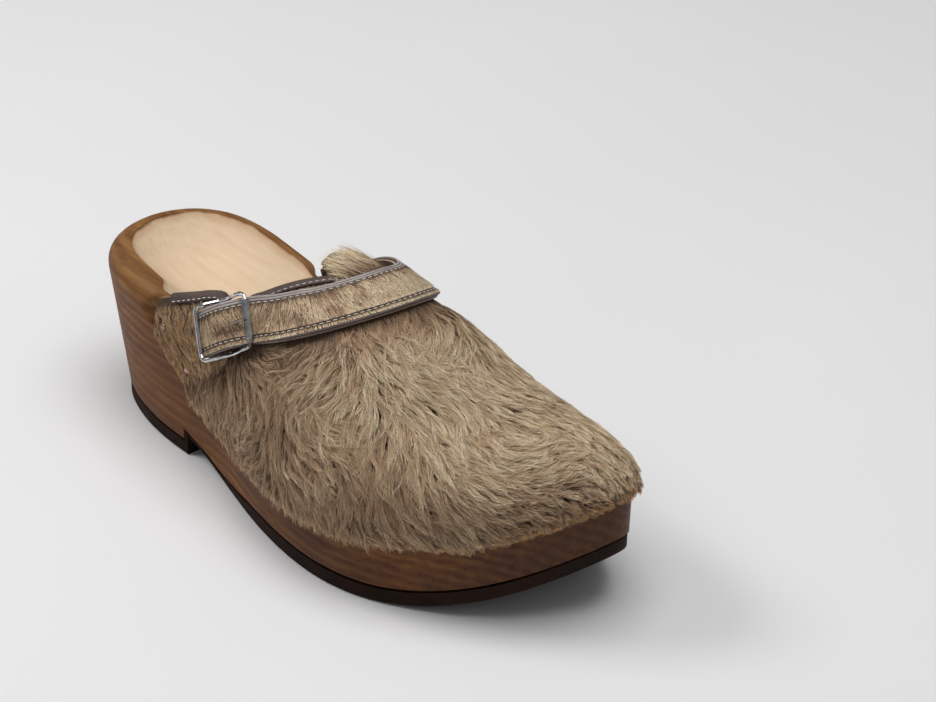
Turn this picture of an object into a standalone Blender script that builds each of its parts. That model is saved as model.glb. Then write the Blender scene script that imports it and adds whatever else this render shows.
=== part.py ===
"""Wooden clog for the right foot, modelled piece by piece.

The frame: +Z up, toe towards -Y, the outer (lateral) side towards -X, the ground at z = 0.
Sizes are in millimetres here and are turned into metres where a mesh is made.
"""

import math

import bmesh
import bpy
import numpy as np

MM = 0.001
GAP = 0.3
CENTRE_SHIFT = np.array([-0.10, -2.63, 0.0])

# Sole outline at the ground, seen from above, from the heel round by the outer side to the toe.
OUTLINE = [
    (-3, 135), (-22, 128.5), (-33.5, 107), (-38, 79), (-39.5, 46), (-48, 12), (-54, -26),
    (-50, -59), (-35, -88.5), (-15, -114), (6.5, -130), (28.5, -137), (44.5, -122), (52.5, -97),
    (53.5, -62), (48, -22), (42, 18), (37, 58), (31.5, 88), (26.5, 113), (15, 129),
]
HEEL_CENTRE_Y = 98.0
TOE_CENTRE_Y = -90.0
SPINE = [(-90, 12), (-60, 9), (-30, 8), (5, 7), (30, 4), (60, 0), (98, -2)]
HEEL_FAN = 15
TOE_FAN = 17
SIDE_STATIONS = 20

# Heights along the length, as (y, z) pairs.
BREAST_Y = 70.0
BREAST_RUBBER = 2.0
HEEL_LIFT = 7.0
NOTCH_Z = 12.5
ARCH = [(-5, 7.5), (12, 7.0), (30, 4.6), (42, 4.4), (54, 7.5), (70, NOTCH_Z)]
GROUND = [(28, 0.0), (36, 0.5), (44, 2.0), (54, 5.2), (70, NOTCH_Z - BREAST_RUBBER)]
SPRING_START_Y = -58.0
SPRING_AT_TIP = 28.0
SPRING_POWER = 2.2
TIP_Y = -137.0
CREST = [
    (-137, 33), (-100, 36.5), (-60, 38), (-30, 39), (0, 46), (25, 57), (50, 66), (68, 71.5), (85, 75), (135, 76.3),
]
FOOTBED = [(-60, 33), (-30, 33), (0, 37), (20, 43), (40, 51), (60, 57), (80, 60), (110, 61)]
LEDGE = [
    (-137, 29), (-90, 31), (-60, 31), (-20, 30), (20, 30.5), (45, 32), (57, 36), (66, 42), (75, 49.5),
    (84, 58), (93, 66),
]
FLARE = [(-90, 1.5), (40, 1.5), (90, 4.5), (135, 9.5)]
FLARE_TOP_Z = 66.0

# The rebate holds the hide, so it runs as far back as each tab: further on the outer side.
REBATE = 3.0
REBATE_START_OUTER = 90.0
REBATE_START_INNER = 67.0
REBATE_BLEND = 4.0
WALL_LEAN = [(-137, 0.26), (30, 0.26), (46, 0.2), (60, 0.15), (84, 0.13)]
SHOULDER_HEEL = (9.5, 9.0)
SHOULDER_SIDE_CHANGE = 2.0
SHOULDER_FRONT = (2.0, 2.0)
STEP_DROP = 0.7
DISH_POWER = 2.3

# Upper: crown height along the length, and the fullness of each side of its cross-section.
CROWN = [(-90, 72), (-60, 77), (-45, 83), (-30, 89.5), (-13, 97), (2, 101.5), (18, 103), (90, 103)]
FULLNESS_OUTER = [(-90, 2.6), (-40, 2.2), (8, 1.95), (30, 2.1), (50, 2.5), (84, 2.8)]
FULLNESS_INNER = [(-90, 2.6), (-40, 2.8), (0, 3.0), (32, 3.0), (60, 2.6)]
HIDE_PROUD = 1.0
HIDE_ABOVE_LEDGE = 0.7
HIDE_BASE = 3.6
HIDE_BODY = 4.6
HIDE_EDGE = 2.4
BODY_ANGLE = 0.5
THIN_FROM = 11.0
THIN_TO = 5.0
HIDE_ROWS = 7
THROAT_Y = 12.0

# Top line of the hide on each side: (y, z) over the tab, the notch and the corner of the tongue.
TOPLINE_OUTER = [
    (84, 74), (77, 78.5), (66, 83.5), (58, 87), (53.4, 88), (50.2, 86), (48.4, 82), (47.4, 78),
    (45.2, 76.2), (43, 77.8), (42, 83), (40.6, 88), (38, 92), (34, 94.5),
]
TOPLINE_INNER = [
    (60, 74), (56, 79.5), (50.5, 85), (45, 87.5), (41.6, 87), (38.9, 83.8), (37.6, 79.4), (36.6, 75.4),
    (34.4, 73.4), (32.2, 75.2), (31.5, 82), (30.2, 88), (27.8, 92.5), (25.6, 94.8), (22.8, 96.2),
    (19.6, 97.2),
]
NOTCH_POINT = 8
TONGUE_STEPS = 8
VAMP_STATIONS = 11

LINING = 1.2
LINING_GAP = 0.7
LINING_ABOVE_RIM = 1.2
LINING_ROWS = 6
LINING_OUTER = [(60, 77), (54, 79), (49, 73), (44.5, 69), (40, 74), (36.5, 83), (32, 89)]
LINING_INNER = [(52, 74), (47, 76), (42, 73), (38, 68.5), (34.4, 66), (30, 69), (25.5, 77), (19.5, 85)]
LINING_THROAT_Y = 3.0

BINDING_LEG = 3.0
BINDING_INNER_LEG = 1.8
BINDING_LEATHER = 0.9
BINDING_GAP = 0.55

NAIL_COUNT = 31
NAIL_REAR_OUTER_Y = 78.0
NAIL_REAR_INNER_Y = 56.0
NAIL_RISE = [(-137, 3.0), (20, 3.0), (45, 5.0), (77, 11.5)]
NAIL_HEAD_RADIUS = 1.7
NAIL_HEAD_HEIGHT = 1.1
NAIL_HEAD_GAP = 0.3
NAIL_SHANK_RADIUS = 0.6
NAIL_HOLE_RADIUS = 0.9
NAIL_LENGTH = 6.6
NAIL_HOLE_LENGTH = 7.2
NAIL_SIDES = 8

# Route of the instep strap as (arc, y): arc is -1 at the outer base, 0 on the crown, 1 at the inner base.
STRAP_ROUTE = [
    (-0.43, 22.0), (-0.36, 13.5), (-0.26, 3.5), (-0.08, -5.0), (0.12, -7.0), (0.30, -4.0),
    (0.46, 5.0), (0.60, 20.0), (0.73, 34.0), (0.86, 47.0),
]
STRAP_WIDTH = 22.4
STRAP_WIDTH_AT_BUCKLE = 20.2
STRAP_TAPER = (30.0, 60.0)
STRAP_HIDE = 1.4
STRAP_LINING = 0.8
STRAP_PLY_GAP = 0.35
STRAP_LIFT = 1.1
STRAP_STEPS = 60
STRAP_EASING = 3
TIP_LENGTH = 8.0

# The buckle lies over these two places of the upper, given as (arc, y) like the route.
BUCKLE_FRONT = (-0.463, 28.3)
BUCKLE_REAR = (-0.718, 52.1)
BUCKLE_HALF_LENGTH = 14.6
BUCKLE_HALF_WIDTH = 11.9
BUCKLE_CORNER = 3.0
WIRE_RADIUS = 0.95
WIRE_SIDES = 10
CENTRE_BAR_LIFT = 2.6
END_BAR_LIFT = 5.6
ROLLER_RADIUS = 1.75
ROLLER_BORE = 1.25
ROLLER_LENGTH = 16.8
# Height of the underside of the strap along the buckle: (distance forward of the centre bar, lift).
STRAP_UNDER = [(-19, 0.2), (-14.6, 1.1), (-11, 2.9), (-6, 4.5), (0, 5.5), (6, 4.1), (14.6, 0.1)]
SLOT_CENTRE = 4.0
SLOT_HALF_LENGTH = 6.2
SLOT_RADIUS = 1.5

PRONG_RADIUS = 0.75
PRONG_CLEARANCE = 0.35
PRONG_TIP = (15.8, 8.9)

CHAPE_WIDTH = 17.0
CHAPE_LEATHER = 0.9
CHAPE_PLY_STEP = 1.25
CHAPE_BORE = 1.4
CHAPE_SLOT = 4.4
CHAPE_UNDER = [(-12.0, 0.3), (-9.0, 0.35), (-5.0, 0.5), (-2.5, 0.6)]

RIVET_RADIUS = 2.2
RIVET_SHANK_RADIUS = 0.8
RIVET_HOLE_RADIUS = 1.1
CHAPE_RIVET_AT = -8.8
CHAPE_RIVET_LENGTH = 10.0
STRAP_RIVET_INSET = 7.0
STRAP_RIVET_LENGTH = 13.0


# ---------------------------------------------------------------- curves

def curve_value(knots, at):
    """Height at `at` on a smooth curve through (position, value) knots, flat beyond the ends."""
    xs = np.array([k[0] for k in knots], float)
    ys = np.array([k[1] for k in knots], float)
    order = np.argsort(xs)
    xs, ys = xs[order], ys[order]
    slope = np.gradient(ys, xs)
    at = np.clip(at, xs[0], xs[-1])
    i = np.clip(np.searchsorted(xs, at) - 1, 0, len(xs) - 2)
    span = xs[i + 1] - xs[i]
    t = (at - xs[i]) / span
    return (
        (2 * t**3 - 3 * t**2 + 1) * ys[i]
        + (t**3 - 2 * t**2 + t) * span * slope[i]
        + (3 * t**2 - 2 * t**3) * ys[i + 1]
        + (t**3 - t**2) * span * slope[i + 1]
    )


def smoothstep(low, high, at):
    t = min(max((at - low) / (high - low), 0.0), 1.0)
    return t * t * (3 - 2 * t)


def smooth_loop(points, per_span=40):
    """Closed cubic B-spline that passes through every point."""
    points = np.array(points, float)
    count = len(points)
    through = np.eye(count) * 4 / 6
    for i in range(count):
        through[i, (i - 1) % count] = 1 / 6
        through[i, (i + 1) % count] = 1 / 6
    control = np.linalg.solve(through, points)
    found = []
    for i in range(count):
        a, b, c, d = (control[(i + k - 1) % count] for k in range(4))
        for t in np.arange(per_span) / per_span:
            found.append(
                ((1 - t) ** 3 * a + (3 * t**3 - 6 * t**2 + 4) * b
                 + (-3 * t**3 + 3 * t**2 + 3 * t + 1) * c + t**3 * d) / 6
            )
    return np.array(found)


LOOP = smooth_loop(OUTLINE)


def loop_hit(core, direction):
    """Where a ray from `core` leaves the outline."""
    across = np.array([-direction[1], direction[0]])
    side = (LOOP - core) @ across
    ahead = (LOOP - core) @ direction
    best = None
    for i in range(len(LOOP)):
        j = (i + 1) % len(LOOP)
        if (side[i] <= 0) == (side[j] <= 0):
            continue
        t = side[i] / (side[i] - side[j])
        reach = ahead[i] + t * (ahead[j] - ahead[i])
        if reach > 0 and (best is None or reach < best):
            best = reach
    return core + direction * best


# ---------------------------------------------------------------- columns

class Column:
    """A vertical slice from the spine out to one point of the outline."""

    def __init__(self, core, direction, side):
        self.core = np.array(core, float)
        self.out = np.array(direction, float)
        self.edge = loop_hit(self.core, self.out)
        self.reach = float(np.linalg.norm(self.edge - self.core))
        self.side = side

    @property
    def y(self):
        return float(self.edge[1])

    def at(self, inset, z):
        """Point that far in from the outline, at height z."""
        place = self.edge - self.out * inset
        return np.array([place[0], place[1], z])

    def share(self, fraction):
        """Point at a fraction of the way from the spine to the outline."""
        return self.core + self.out * self.reach * fraction


def spine(y):
    return np.array([curve_value(SPINE, y), y])


def side_column(y, side):
    return Column(spine(y), (side, 0.0), side)


def fan_columns(centre_y, start, stop, count):
    """Columns that fan round one end, between two angles in degrees, without the end angles."""
    centre = spine(centre_y)
    found = []
    for angle in np.radians(np.linspace(start, stop, count + 2)[1:-1]):
        found.append(Column(centre, (math.cos(angle), math.sin(angle)), math.cos(angle)))
    return found


def sole_columns():
    breast = [BREAST_Y + 0.2, BREAST_Y, BREAST_Y - 0.3, BREAST_Y - 0.5]
    breast += [BREAST_Y - BREAST_RUBBER + 0.1, BREAST_Y - BREAST_RUBBER - 0.1]
    plain = np.linspace(HEEL_CENTRE_Y, TOE_CENTRE_Y, SIDE_STATIONS)
    plain = [y for y in plain if min(abs(y - b) for b in breast) > 3.5]
    stations = sorted(list(plain) + breast + [81.0, 86.0, 90.0, 94.0], reverse=True)
    outer = [side_column(y, -1.0) for y in stations]
    inner = [side_column(y, 1.0) for y in reversed(stations)]
    toe = fan_columns(TOE_CENTRE_Y, 180, 360, TOE_FAN)
    heel = fan_columns(HEEL_CENTRE_Y, 0, 180, HEEL_FAN)
    return outer + toe + inner + heel


# ---------------------------------------------------------------- heights

def spring(y):
    t = max((SPRING_START_Y - y) / (SPRING_START_Y - TIP_Y), 0.0)
    return SPRING_AT_TIP * t**SPRING_POWER


def wood_bottom(y):
    if y > BREAST_Y + 0.1:
        return HEEL_LIFT
    return curve_value(ARCH, y) + spring(y)


def rubber_top(y):
    if y > BREAST_Y - 0.4:
        return HEEL_LIFT - GAP
    return curve_value(ARCH, y) + spring(y) - GAP


def rubber_bottom(y):
    if y > BREAST_Y - BREAST_RUBBER:
        return 0.0
    return curve_value(GROUND, y) + spring(y)


def crest_z(y):
    return curve_value(CREST, y) + spring(y)


def ledge_z(y):
    return curve_value(LEDGE, y) + spring(y)


def footbed_z(y):
    return curve_value(FOOTBED, y) + spring(y) * 0.85


def flare(y, z):
    """How far the wooden wall has moved outwards by height z."""
    return curve_value(FLARE, y) * min(max(z - HEEL_LIFT, 0.0) / (FLARE_TOP_Z - HEEL_LIFT), 1.1)


# ---------------------------------------------------------------- meshes

def material(name, rgb, roughness, metallic=0.0):
    made = bpy.data.materials.get(name)
    if made:
        return made
    made = bpy.data.materials.new(name)
    made.use_nodes = True
    shader = made.node_tree.nodes["Principled BSDF"]
    shader.inputs["Base Color"].default_value = (*rgb, 1.0)
    shader.inputs["Roughness"].default_value = roughness
    shader.inputs["Metallic"].default_value = metallic
    made.diffuse_color = (*rgb, 1.0)
    return made


def add_object(name, points, faces, finish, origin=(0.0, 0.0, 0.0), smooth=35.0):
    """A mesh object from points in millimetres; points at one place become one vertex."""
    origin = (np.array(origin, float) + CENTRE_SHIFT) * MM
    mesh = bpy.data.meshes.new(name)
    build = bmesh.new()
    placed = [build.verts.new((np.array(p) + CENTRE_SHIFT) * MM - origin) for p in points]
    for face in faces:
        corners = [placed[i] for i in face]
        build.faces.new(corners)
    bmesh.ops.remove_doubles(build, verts=build.verts, dist=1e-7)
    bmesh.ops.recalc_face_normals(build, faces=build.faces)
    build.to_mesh(mesh)
    build.free()
    mesh.materials.append(finish)
    mesh.shade_smooth()
    mesh.set_sharp_from_angle(angle=math.radians(smooth))
    made = bpy.data.objects.new(name, mesh)
    made.location = origin
    bpy.context.scene.collection.objects.link(made)
    return made


def grid_faces(rows, columns, wrap_rows=False, wrap_columns=False):
    faces = []
    for i in range(rows if wrap_rows else rows - 1):
        for j in range(columns if wrap_columns else columns - 1):
            k, m = (i + 1) % rows, (j + 1) % columns
            faces.append((i * columns + j, k * columns + j, k * columns + m, i * columns + m))
    return faces


def add_band(name, profiles, finish, seams=()):
    """A solid from one closed outline of points per column, joined column to column and capped.

    `seams` lists the columns whose last outer and first inner points lie on the spine, where the
    two sides meet and no edge face is wanted.
    """
    rows, count = len(profiles), len(profiles[0])
    points = [p for profile in profiles for p in profile]
    crown = count // 2 - 1
    faces = []
    for i, face in enumerate(grid_faces(rows, count, wrap_columns=True)):
        row, place = divmod(i, count)
        if place == crown and row in seams and row + 1 in seams:
            continue
        faces.append(face)
    faces.append(tuple(range(count)))
    faces.append(tuple(range((rows - 1) * count, rows * count)))
    return add_object(name, points, faces, finish)


def add_core_solid(name, profiles, finish):
    """A solid whose column profiles start and end on the spine, closed round both ends."""
    rows, count = len(profiles), len(profiles[0])
    points = [p for profile in profiles for p in profile]
    return add_object(name, points, grid_faces(rows, count, wrap_rows=True), finish)


def cut(target, cutter_name, points, faces):
    """Takes a helper shape away from the target."""
    cutter = add_object(cutter_name, points, faces, target.data.materials[0])
    cutter.hide_render = True
    cutter.display_type = "WIRE"
    boolean = target.modifiers.new("holes", "BOOLEAN")
    boolean.operation = "DIFFERENCE"
    boolean.object = cutter


# ---------------------------------------------------------------- sole

def sole_profile(column):
    """Points of one slice of the wooden sole, from the spine below to the spine above."""
    y = column.y
    bottom, ledge, crest = wood_bottom(y), ledge_z(y), crest_z(y)
    start = np.interp(column.side, (-1.0, 1.0), (REBATE_START_OUTER, REBATE_START_INNER))
    rebated = 1 - smoothstep(start - REBATE_BLEND, start + REBATE_BLEND, y)
    heel_wide = SHOULDER_HEEL[0] - SHOULDER_SIDE_CHANGE * column.side
    wide = SHOULDER_FRONT[0] + (heel_wide - SHOULDER_FRONT[0]) * (1 - rebated)
    tall = SHOULDER_FRONT[1] + (SHOULDER_HEEL[1] - SHOULDER_FRONT[1]) * (1 - rebated)
    points = []
    for fraction in (0.0, 0.4, 0.75):
        place = column.share(fraction)
        points.append(np.array([*place, wood_bottom(place[1])]))
    points.append(column.at(1.2, bottom))
    side_top = min(ledge, crest - tall)
    for step in (0.0, 0.25, 0.5, 0.75, 1.0):
        z = bottom + 1.0 + (side_top - 0.8 - bottom - 1.0) * step
        points.append(column.at(-flare(y, z), z))
    base = -flare(y, side_top)
    points.append(column.at(base + 0.8 * rebated, side_top))
    wall = base + REBATE * rebated
    points.append(column.at(wall, side_top + 0.05 + 0.4 * (1 - rebated)))
    shoulder_z = crest - tall
    lean = curve_value(WALL_LEAN, y) * rebated
    wall_top = wall + max(shoulder_z - side_top, 0.0) * lean
    shoulder_z = max(shoulder_z, side_top + 1.0)
    for angle in np.radians((0, 30, 60, 90)):
        inset = wall_top + wide * (1 - math.cos(angle))
        points.append(column.at(inset, shoulder_z + (crest - shoulder_z) * math.sin(angle)))
    inner = wall_top + wide
    points.append(column.at(inner + 0.6, crest - STEP_DROP))
    dish_edge = (column.reach - inner - 0.6) / column.reach
    for part in (0.93, 0.8, 0.6, 0.35, 0.0):
        place = column.share(dish_edge * part)
        low = footbed_z(place[1])
        rise = (crest - STEP_DROP - low) * part**DISH_POWER
        points.append(np.array([*place, low + rise]))
    return points


def wooden_sole():
    finish = material("clog_wood", (0.18, 0.085, 0.035), 0.5)
    return add_core_solid("wooden_sole", [sole_profile(c) for c in sole_columns()], finish)


def outsole_profile(column):
    y = column.y
    points = []
    for fraction in (0.0, 0.4, 0.75):
        place = column.share(fraction)
        points.append(np.array([*place, rubber_top(place[1])]))
    points.append(column.at(1.2, rubber_top(y)))
    points.append(column.at(0.0, rubber_top(y) - 0.2))
    points.append(column.at(0.2, rubber_bottom(y) + 0.8))
    points.append(column.at(1.0, rubber_bottom(y)))
    for fraction in (0.75, 0.4, 0.0):
        place = column.share(fraction)
        points.append(np.array([*place, rubber_bottom(place[1])]))
    return points


def rubber_outsole():
    finish = material("outsole_rubber", (0.02, 0.012, 0.009), 0.75)
    return add_core_solid("rubber_outsole", [outsole_profile(c) for c in sole_columns()], finish)


# ---------------------------------------------------------------- upper

def fullness(column):
    outer = curve_value(FULLNESS_OUTER, column.core[1])
    inner = curve_value(FULLNESS_INNER, column.core[1])
    share = (column.side + 1) / 2
    return outer + (inner - outer) * share


def dome_point(column, angle, depth=0.0):
    """A point of the upper, `depth` inside its outer face; angle is 0 at the base, pi/2 on the crown."""
    y = column.y
    base = ledge_z(y) + HIDE_ABOVE_LEDGE
    height = curve_value(CROWN, column.core[1]) - base - depth
    reach = column.reach + flare(y, base) + HIDE_PROUD - depth
    power = 2 / fullness(column)
    place = column.core + column.out * reach * math.cos(angle) ** power
    return np.array([*place, base + height * math.sin(angle) ** power])


def point_on_upper(arc, y):
    """A point of the outer face; arc is -1 at the outer base, 0 on the crown, 1 at the inner base."""
    column = side_column(y, -1.0 if arc < 0 else 1.0)
    return dome_point(column, (1 - abs(arc)) * math.pi / 2)


def normal_on_upper(arc, y):
    across = point_on_upper(arc + 0.02, y) - point_on_upper(arc - 0.02, y)
    back = point_on_upper(arc, y + 1.0) - point_on_upper(arc, y - 1.0)
    normal = np.cross(across, back)
    return normal / np.linalg.norm(normal)


def angle_at_height(column, z):
    """The angle at which the upper's outer face reaches height z."""
    low, high = 0.0, math.pi / 2
    for _ in range(40):
        middle = (low + high) / 2
        if dome_point(column, middle)[2] < z:
            low = middle
        else:
            high = middle
    return (low + high) / 2


def angle_at_share(column, share):
    """The angle at which the upper has come in to this share of its reach."""
    return math.acos(share ** (fullness(column) / 2))


def topline_columns(topline, side, throat_y):
    """(column, top angle) pairs along one side's free edge, up to where it meets the spine."""
    rows = []
    for y, z in topline:
        column = side_column(y, side)
        rows.append((column, angle_at_height(column, z)))
    corner, corner_top = rows[-1]
    corner_share = math.cos(corner_top) ** (2 / fullness(corner))
    for step in range(1, TONGUE_STEPS):
        t = step / TONGUE_STEPS
        column = side_column(corner.y + (throat_y - corner.y) * t, side)
        rows.append((column, angle_at_share(column, corner_share * (1 - t))))
    return rows


def upper_columns(outer, inner, throat_y):
    """(column, top angle) pairs from the back of the outer tab, round the toe, to the inner tab."""
    sides = []
    for side, topline in ((-1.0, outer), (1.0, inner)):
        rows = topline_columns(topline, side, throat_y)
        vamp = list(np.linspace(throat_y - THIN_FROM, TOE_CENTRE_Y, VAMP_STATIONS))
        for y in [throat_y, throat_y - THIN_TO] + vamp:
            rows.append((side_column(y, side), math.pi / 2))
        sides.append(rows)
    toe = [(c, math.pi / 2) for c in fan_columns(TOE_CENTRE_Y, 180, 360, TOE_FAN)]
    return sides[0] + toe + sides[1][::-1]


def crown_seams(columns):
    return {i for i, (_, top) in enumerate(columns) if top > math.pi / 2 - 1e-6}


def body_depth(angle):
    """Thickness of the hide with its pile, away from the free edge."""
    return HIDE_BASE + (HIDE_BODY - HIDE_BASE) * smoothstep(0.0, BODY_ANGLE, angle)


def free_edge():
    """Close-spaced points along the whole free edge of the upper."""
    outer = topline_columns(TOPLINE_OUTER, -1.0, THROAT_Y)
    inner = topline_columns(TOPLINE_INNER, 1.0, THROAT_Y)
    throat = [(side_column(THROAT_Y, -1.0), math.pi / 2)]
    corners = [dome_point(c, top) for c, top in outer + throat + inner[::-1]]
    found = []
    for a, b in zip(corners, corners[1:]):
        found += [a + (b - a) * t for t in (0.0, 0.25, 0.5, 0.75)]
    return np.array(found)


def drawn_in(column, angle):
    """How far the outer face steps in near the free edge, where the pile is trimmed."""
    distance = np.linalg.norm(FREE_EDGE - dome_point(column, angle), axis=1).min()
    return (body_depth(angle) - HIDE_EDGE) * (1 - smoothstep(THIN_TO, THIN_FROM, distance))


def angle_at_distance(column, top, distance):
    """The angle that lies this far below the top of a slice."""
    end = dome_point(column, top)
    low, high = 0.0, top
    for _ in range(30):
        middle = (low + high) / 2
        if np.linalg.norm(dome_point(column, middle) - end) > distance:
            low = middle
        else:
            high = middle
    return max((low + high) / 2, top * 0.5)


FREE_EDGE = free_edge()


def hide_profile(column, top):
    upper_rows = [angle_at_distance(column, top, d) for d in (THIN_FROM, THIN_TO)] + [top]
    angles = list(np.linspace(0.0, upper_rows[0], HIDE_ROWS)) + upper_rows[1:]
    outer = [dome_point(column, a, drawn_in(column, a)) for a in angles]
    inner = [dome_point(column, a, body_depth(a)) for a in angles]
    return outer + inner[::-1]


def hide_upper():
    finish = material("fur_hide", (0.32, 0.23, 0.15), 0.9)
    columns = upper_columns(TOPLINE_OUTER, TOPLINE_INNER, THROAT_Y)
    profiles = [hide_profile(c, top) for c, top in columns]
    return add_band("hide_upper", profiles, finish, crown_seams(columns))


def lining_profile(column, top):
    depth = body_depth(top) + LINING_GAP
    low, high = 0.0, top
    for _ in range(30):
        middle = (low + high) / 2
        if dome_point(column, middle, depth)[2] < crest_z(column.y) + LINING_ABOVE_RIM:
            low = middle
        else:
            high = middle
    angles = np.linspace(low, top, LINING_ROWS)
    outer = [dome_point(column, a, body_depth(a) + LINING_GAP) for a in angles]
    inner = [dome_point(column, a, body_depth(a) + LINING_GAP + LINING) for a in angles]
    return outer + inner[::-1]


def leather_lining():
    finish = material("lining_leather", (0.62, 0.42, 0.32), 0.7)
    columns = upper_columns(LINING_OUTER, LINING_INNER, LINING_THROAT_Y)
    profiles = [lining_profile(c, top) for c, top in columns]
    return add_band("leather_lining", profiles, finish, crown_seams(columns))


# ---------------------------------------------------------------- bindings

class EdgePoint:
    """A place on the free edge of the hide, with the directions out of the face and into the hide."""

    def __init__(self, column, top):
        self.face = dome_point(column, top, drawn_in(column, top))
        self.normal = normal_on_upper(column.side * (1 - top / (math.pi / 2)), column.y)
        below = dome_point(column, top - 0.05, drawn_in(column, top))
        self.below = below - self.face
        self.into = None


def edge_points(rows):
    found = [EdgePoint(c, top) for c, top in rows]
    for i, point in enumerate(found):
        before, after = found[max(i - 1, 0)], found[min(i + 1, len(found) - 1)]
        along = after.face - before.face
        into = np.cross(point.normal, along)
        into /= np.linalg.norm(into)
        if into @ point.below < 0:
            into = -into
        point.into = into
    return found


def binding_section(point):
    """A folded strip over the edge: outer leg, fold and inner leg."""
    gap, ply, leg, inner_leg = BINDING_GAP, BINDING_LEATHER, BINDING_LEG, BINDING_INNER_LEG
    back = -HIDE_EDGE - gap
    flat = [
        (leg, gap), (leg, gap + ply), (-gap - 0.3 * ply, gap + ply), (-gap - ply, gap),
        (-gap - ply, back), (-gap - 0.3 * ply, back - ply), (inner_leg, back - ply), (inner_leg, back),
        (-gap, back), (-gap, gap),
    ]
    return [point.face + point.into * b + point.normal * n for b, n in flat]


def add_binding(name, rows):
    finish = material("binding_leather", (0.07, 0.045, 0.045), 0.55)
    profiles = [binding_section(p) for p in edge_points(rows)]
    return add_band(name, profiles, finish)


def bindings():
    outer, inner, notch = TOPLINE_OUTER, TOPLINE_INNER, NOTCH_POINT
    tabs = []
    fronts = []
    for side, line in ((-1.0, outer), (1.0, inner)):
        tabs.append(topline_columns(line[:notch], side, THROAT_Y)[1:notch])
        fronts.append(topline_columns(line[notch + 1:], side, THROAT_Y))
    throat = [(side_column(THROAT_Y, -1.0), math.pi / 2)]
    add_binding("outer_tab_binding", tabs[0])
    add_binding("inner_tab_binding", tabs[1])
    add_binding("tongue_binding", fronts[0] + throat + fronts[1][::-1])


# ---------------------------------------------------------------- nails

def nail_columns():
    """Evenly spaced (column, inward direction) pairs round the lower edge of the upper."""
    dense = [side_column(y, -1.0) for y in np.arange(NAIL_REAR_OUTER_Y, TOE_CENTRE_Y, -1.0)]
    dense += fan_columns(TOE_CENTRE_Y, 180, 360, 160)
    dense += [side_column(y, 1.0) for y in np.arange(TOE_CENTRE_Y, NAIL_REAR_INNER_Y, 1.0)]
    steps = [np.linalg.norm(b.edge - a.edge) for a, b in zip(dense, dense[1:])]
    travel = np.concatenate([[0.0], np.cumsum(steps)])
    found = []
    for wanted in np.linspace(0.0, travel[-1], NAIL_COUNT):
        i = int(np.argmin(abs(travel - wanted)))
        along = dense[min(i + 1, len(dense) - 1)].edge - dense[max(i - 1, 0)].edge
        inwards = np.array([-along[1], along[0], 0.0]) / np.linalg.norm(along)
        found.append((dense[i], inwards))
    return found


def nail_place(column):
    """Where a nail meets the outer face of the hide."""
    z = ledge_z(column.y) + curve_value(NAIL_RISE, column.y)
    return dome_point(column, angle_at_height(column, z))


def axis_frame(axis):
    """Two directions square to the axis and to each other."""
    axis = np.array(axis, float) / np.linalg.norm(axis)
    helper = np.array([0.0, 0.0, 1.0]) if abs(axis[2]) < 0.8 else np.array([1.0, 0.0, 0.0])
    first = np.cross(axis, helper)
    first /= np.linalg.norm(first)
    return axis, first, np.cross(axis, first)


def turned(place, axis, outline, sides):
    """Points and faces of a turned solid; the outline is (distance along the axis, radius)."""
    axis, first, second = axis_frame(axis)
    points, rows = [], []
    for along, radius in outline:
        centre = np.array(place) + axis * along
        row = []
        for k in range(1 if radius == 0 else sides):
            angle = 2 * math.pi * k / sides
            row.append(len(points))
            points.append(centre + (first * math.cos(angle) + second * math.sin(angle)) * radius)
        rows.append(row)
    faces = []
    for low, high in zip(rows, rows[1:]):
        for k in range(sides):
            m = (k + 1) % sides
            corners = [low[k % len(low)], low[m % len(low)], high[m % len(high)], high[k % len(high)]]
            faces.append(tuple(dict.fromkeys(corners)))
    for row in (rows[0], rows[-1]):
        if len(row) > 1:
            faces.append(tuple(row))
    return points, faces


def merge_shapes(shapes):
    points, faces = [], []
    for more_points, more_faces in shapes:
        shift = len(points)
        points += list(more_points)
        faces += [tuple(i + shift for i in face) for face in more_faces]
    return points, faces


def nails(hide, sole):
    finish = material("nail_steel", (0.30, 0.25, 0.20), 0.4, 1.0)
    head, rise = NAIL_HEAD_RADIUS, NAIL_HEAD_HEIGHT
    outline = [
        (-NAIL_HEAD_GAP - rise, 0.0),
        (-NAIL_HEAD_GAP - rise * 0.86, head * 0.5),
        (-NAIL_HEAD_GAP - rise * 0.45, head * 0.88),
        (-NAIL_HEAD_GAP, head),
        (-NAIL_HEAD_GAP, NAIL_SHANK_RADIUS),
        (NAIL_LENGTH - 1.2, NAIL_SHANK_RADIUS),
        (NAIL_LENGTH, 0.0),
    ]
    holes = []
    for number, (column, axis) in enumerate(nail_columns(), start=1):
        place = nail_place(column)
        points, faces = turned(place, axis, outline, NAIL_SIDES)
        add_object(f"nail_{number:02d}", points, faces, finish)
        bore = [(-3.0, NAIL_HOLE_RADIUS), (NAIL_HOLE_LENGTH, NAIL_HOLE_RADIUS)]
        holes.append(turned(place, axis, bore, NAIL_SIDES))
    points, faces = merge_shapes(holes)
    cut(hide, "nail_holes_in_hide", points, faces)
    cut(sole, "nail_holes_in_sole", points, faces)


# ---------------------------------------------------------------- strap and buckle

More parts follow.
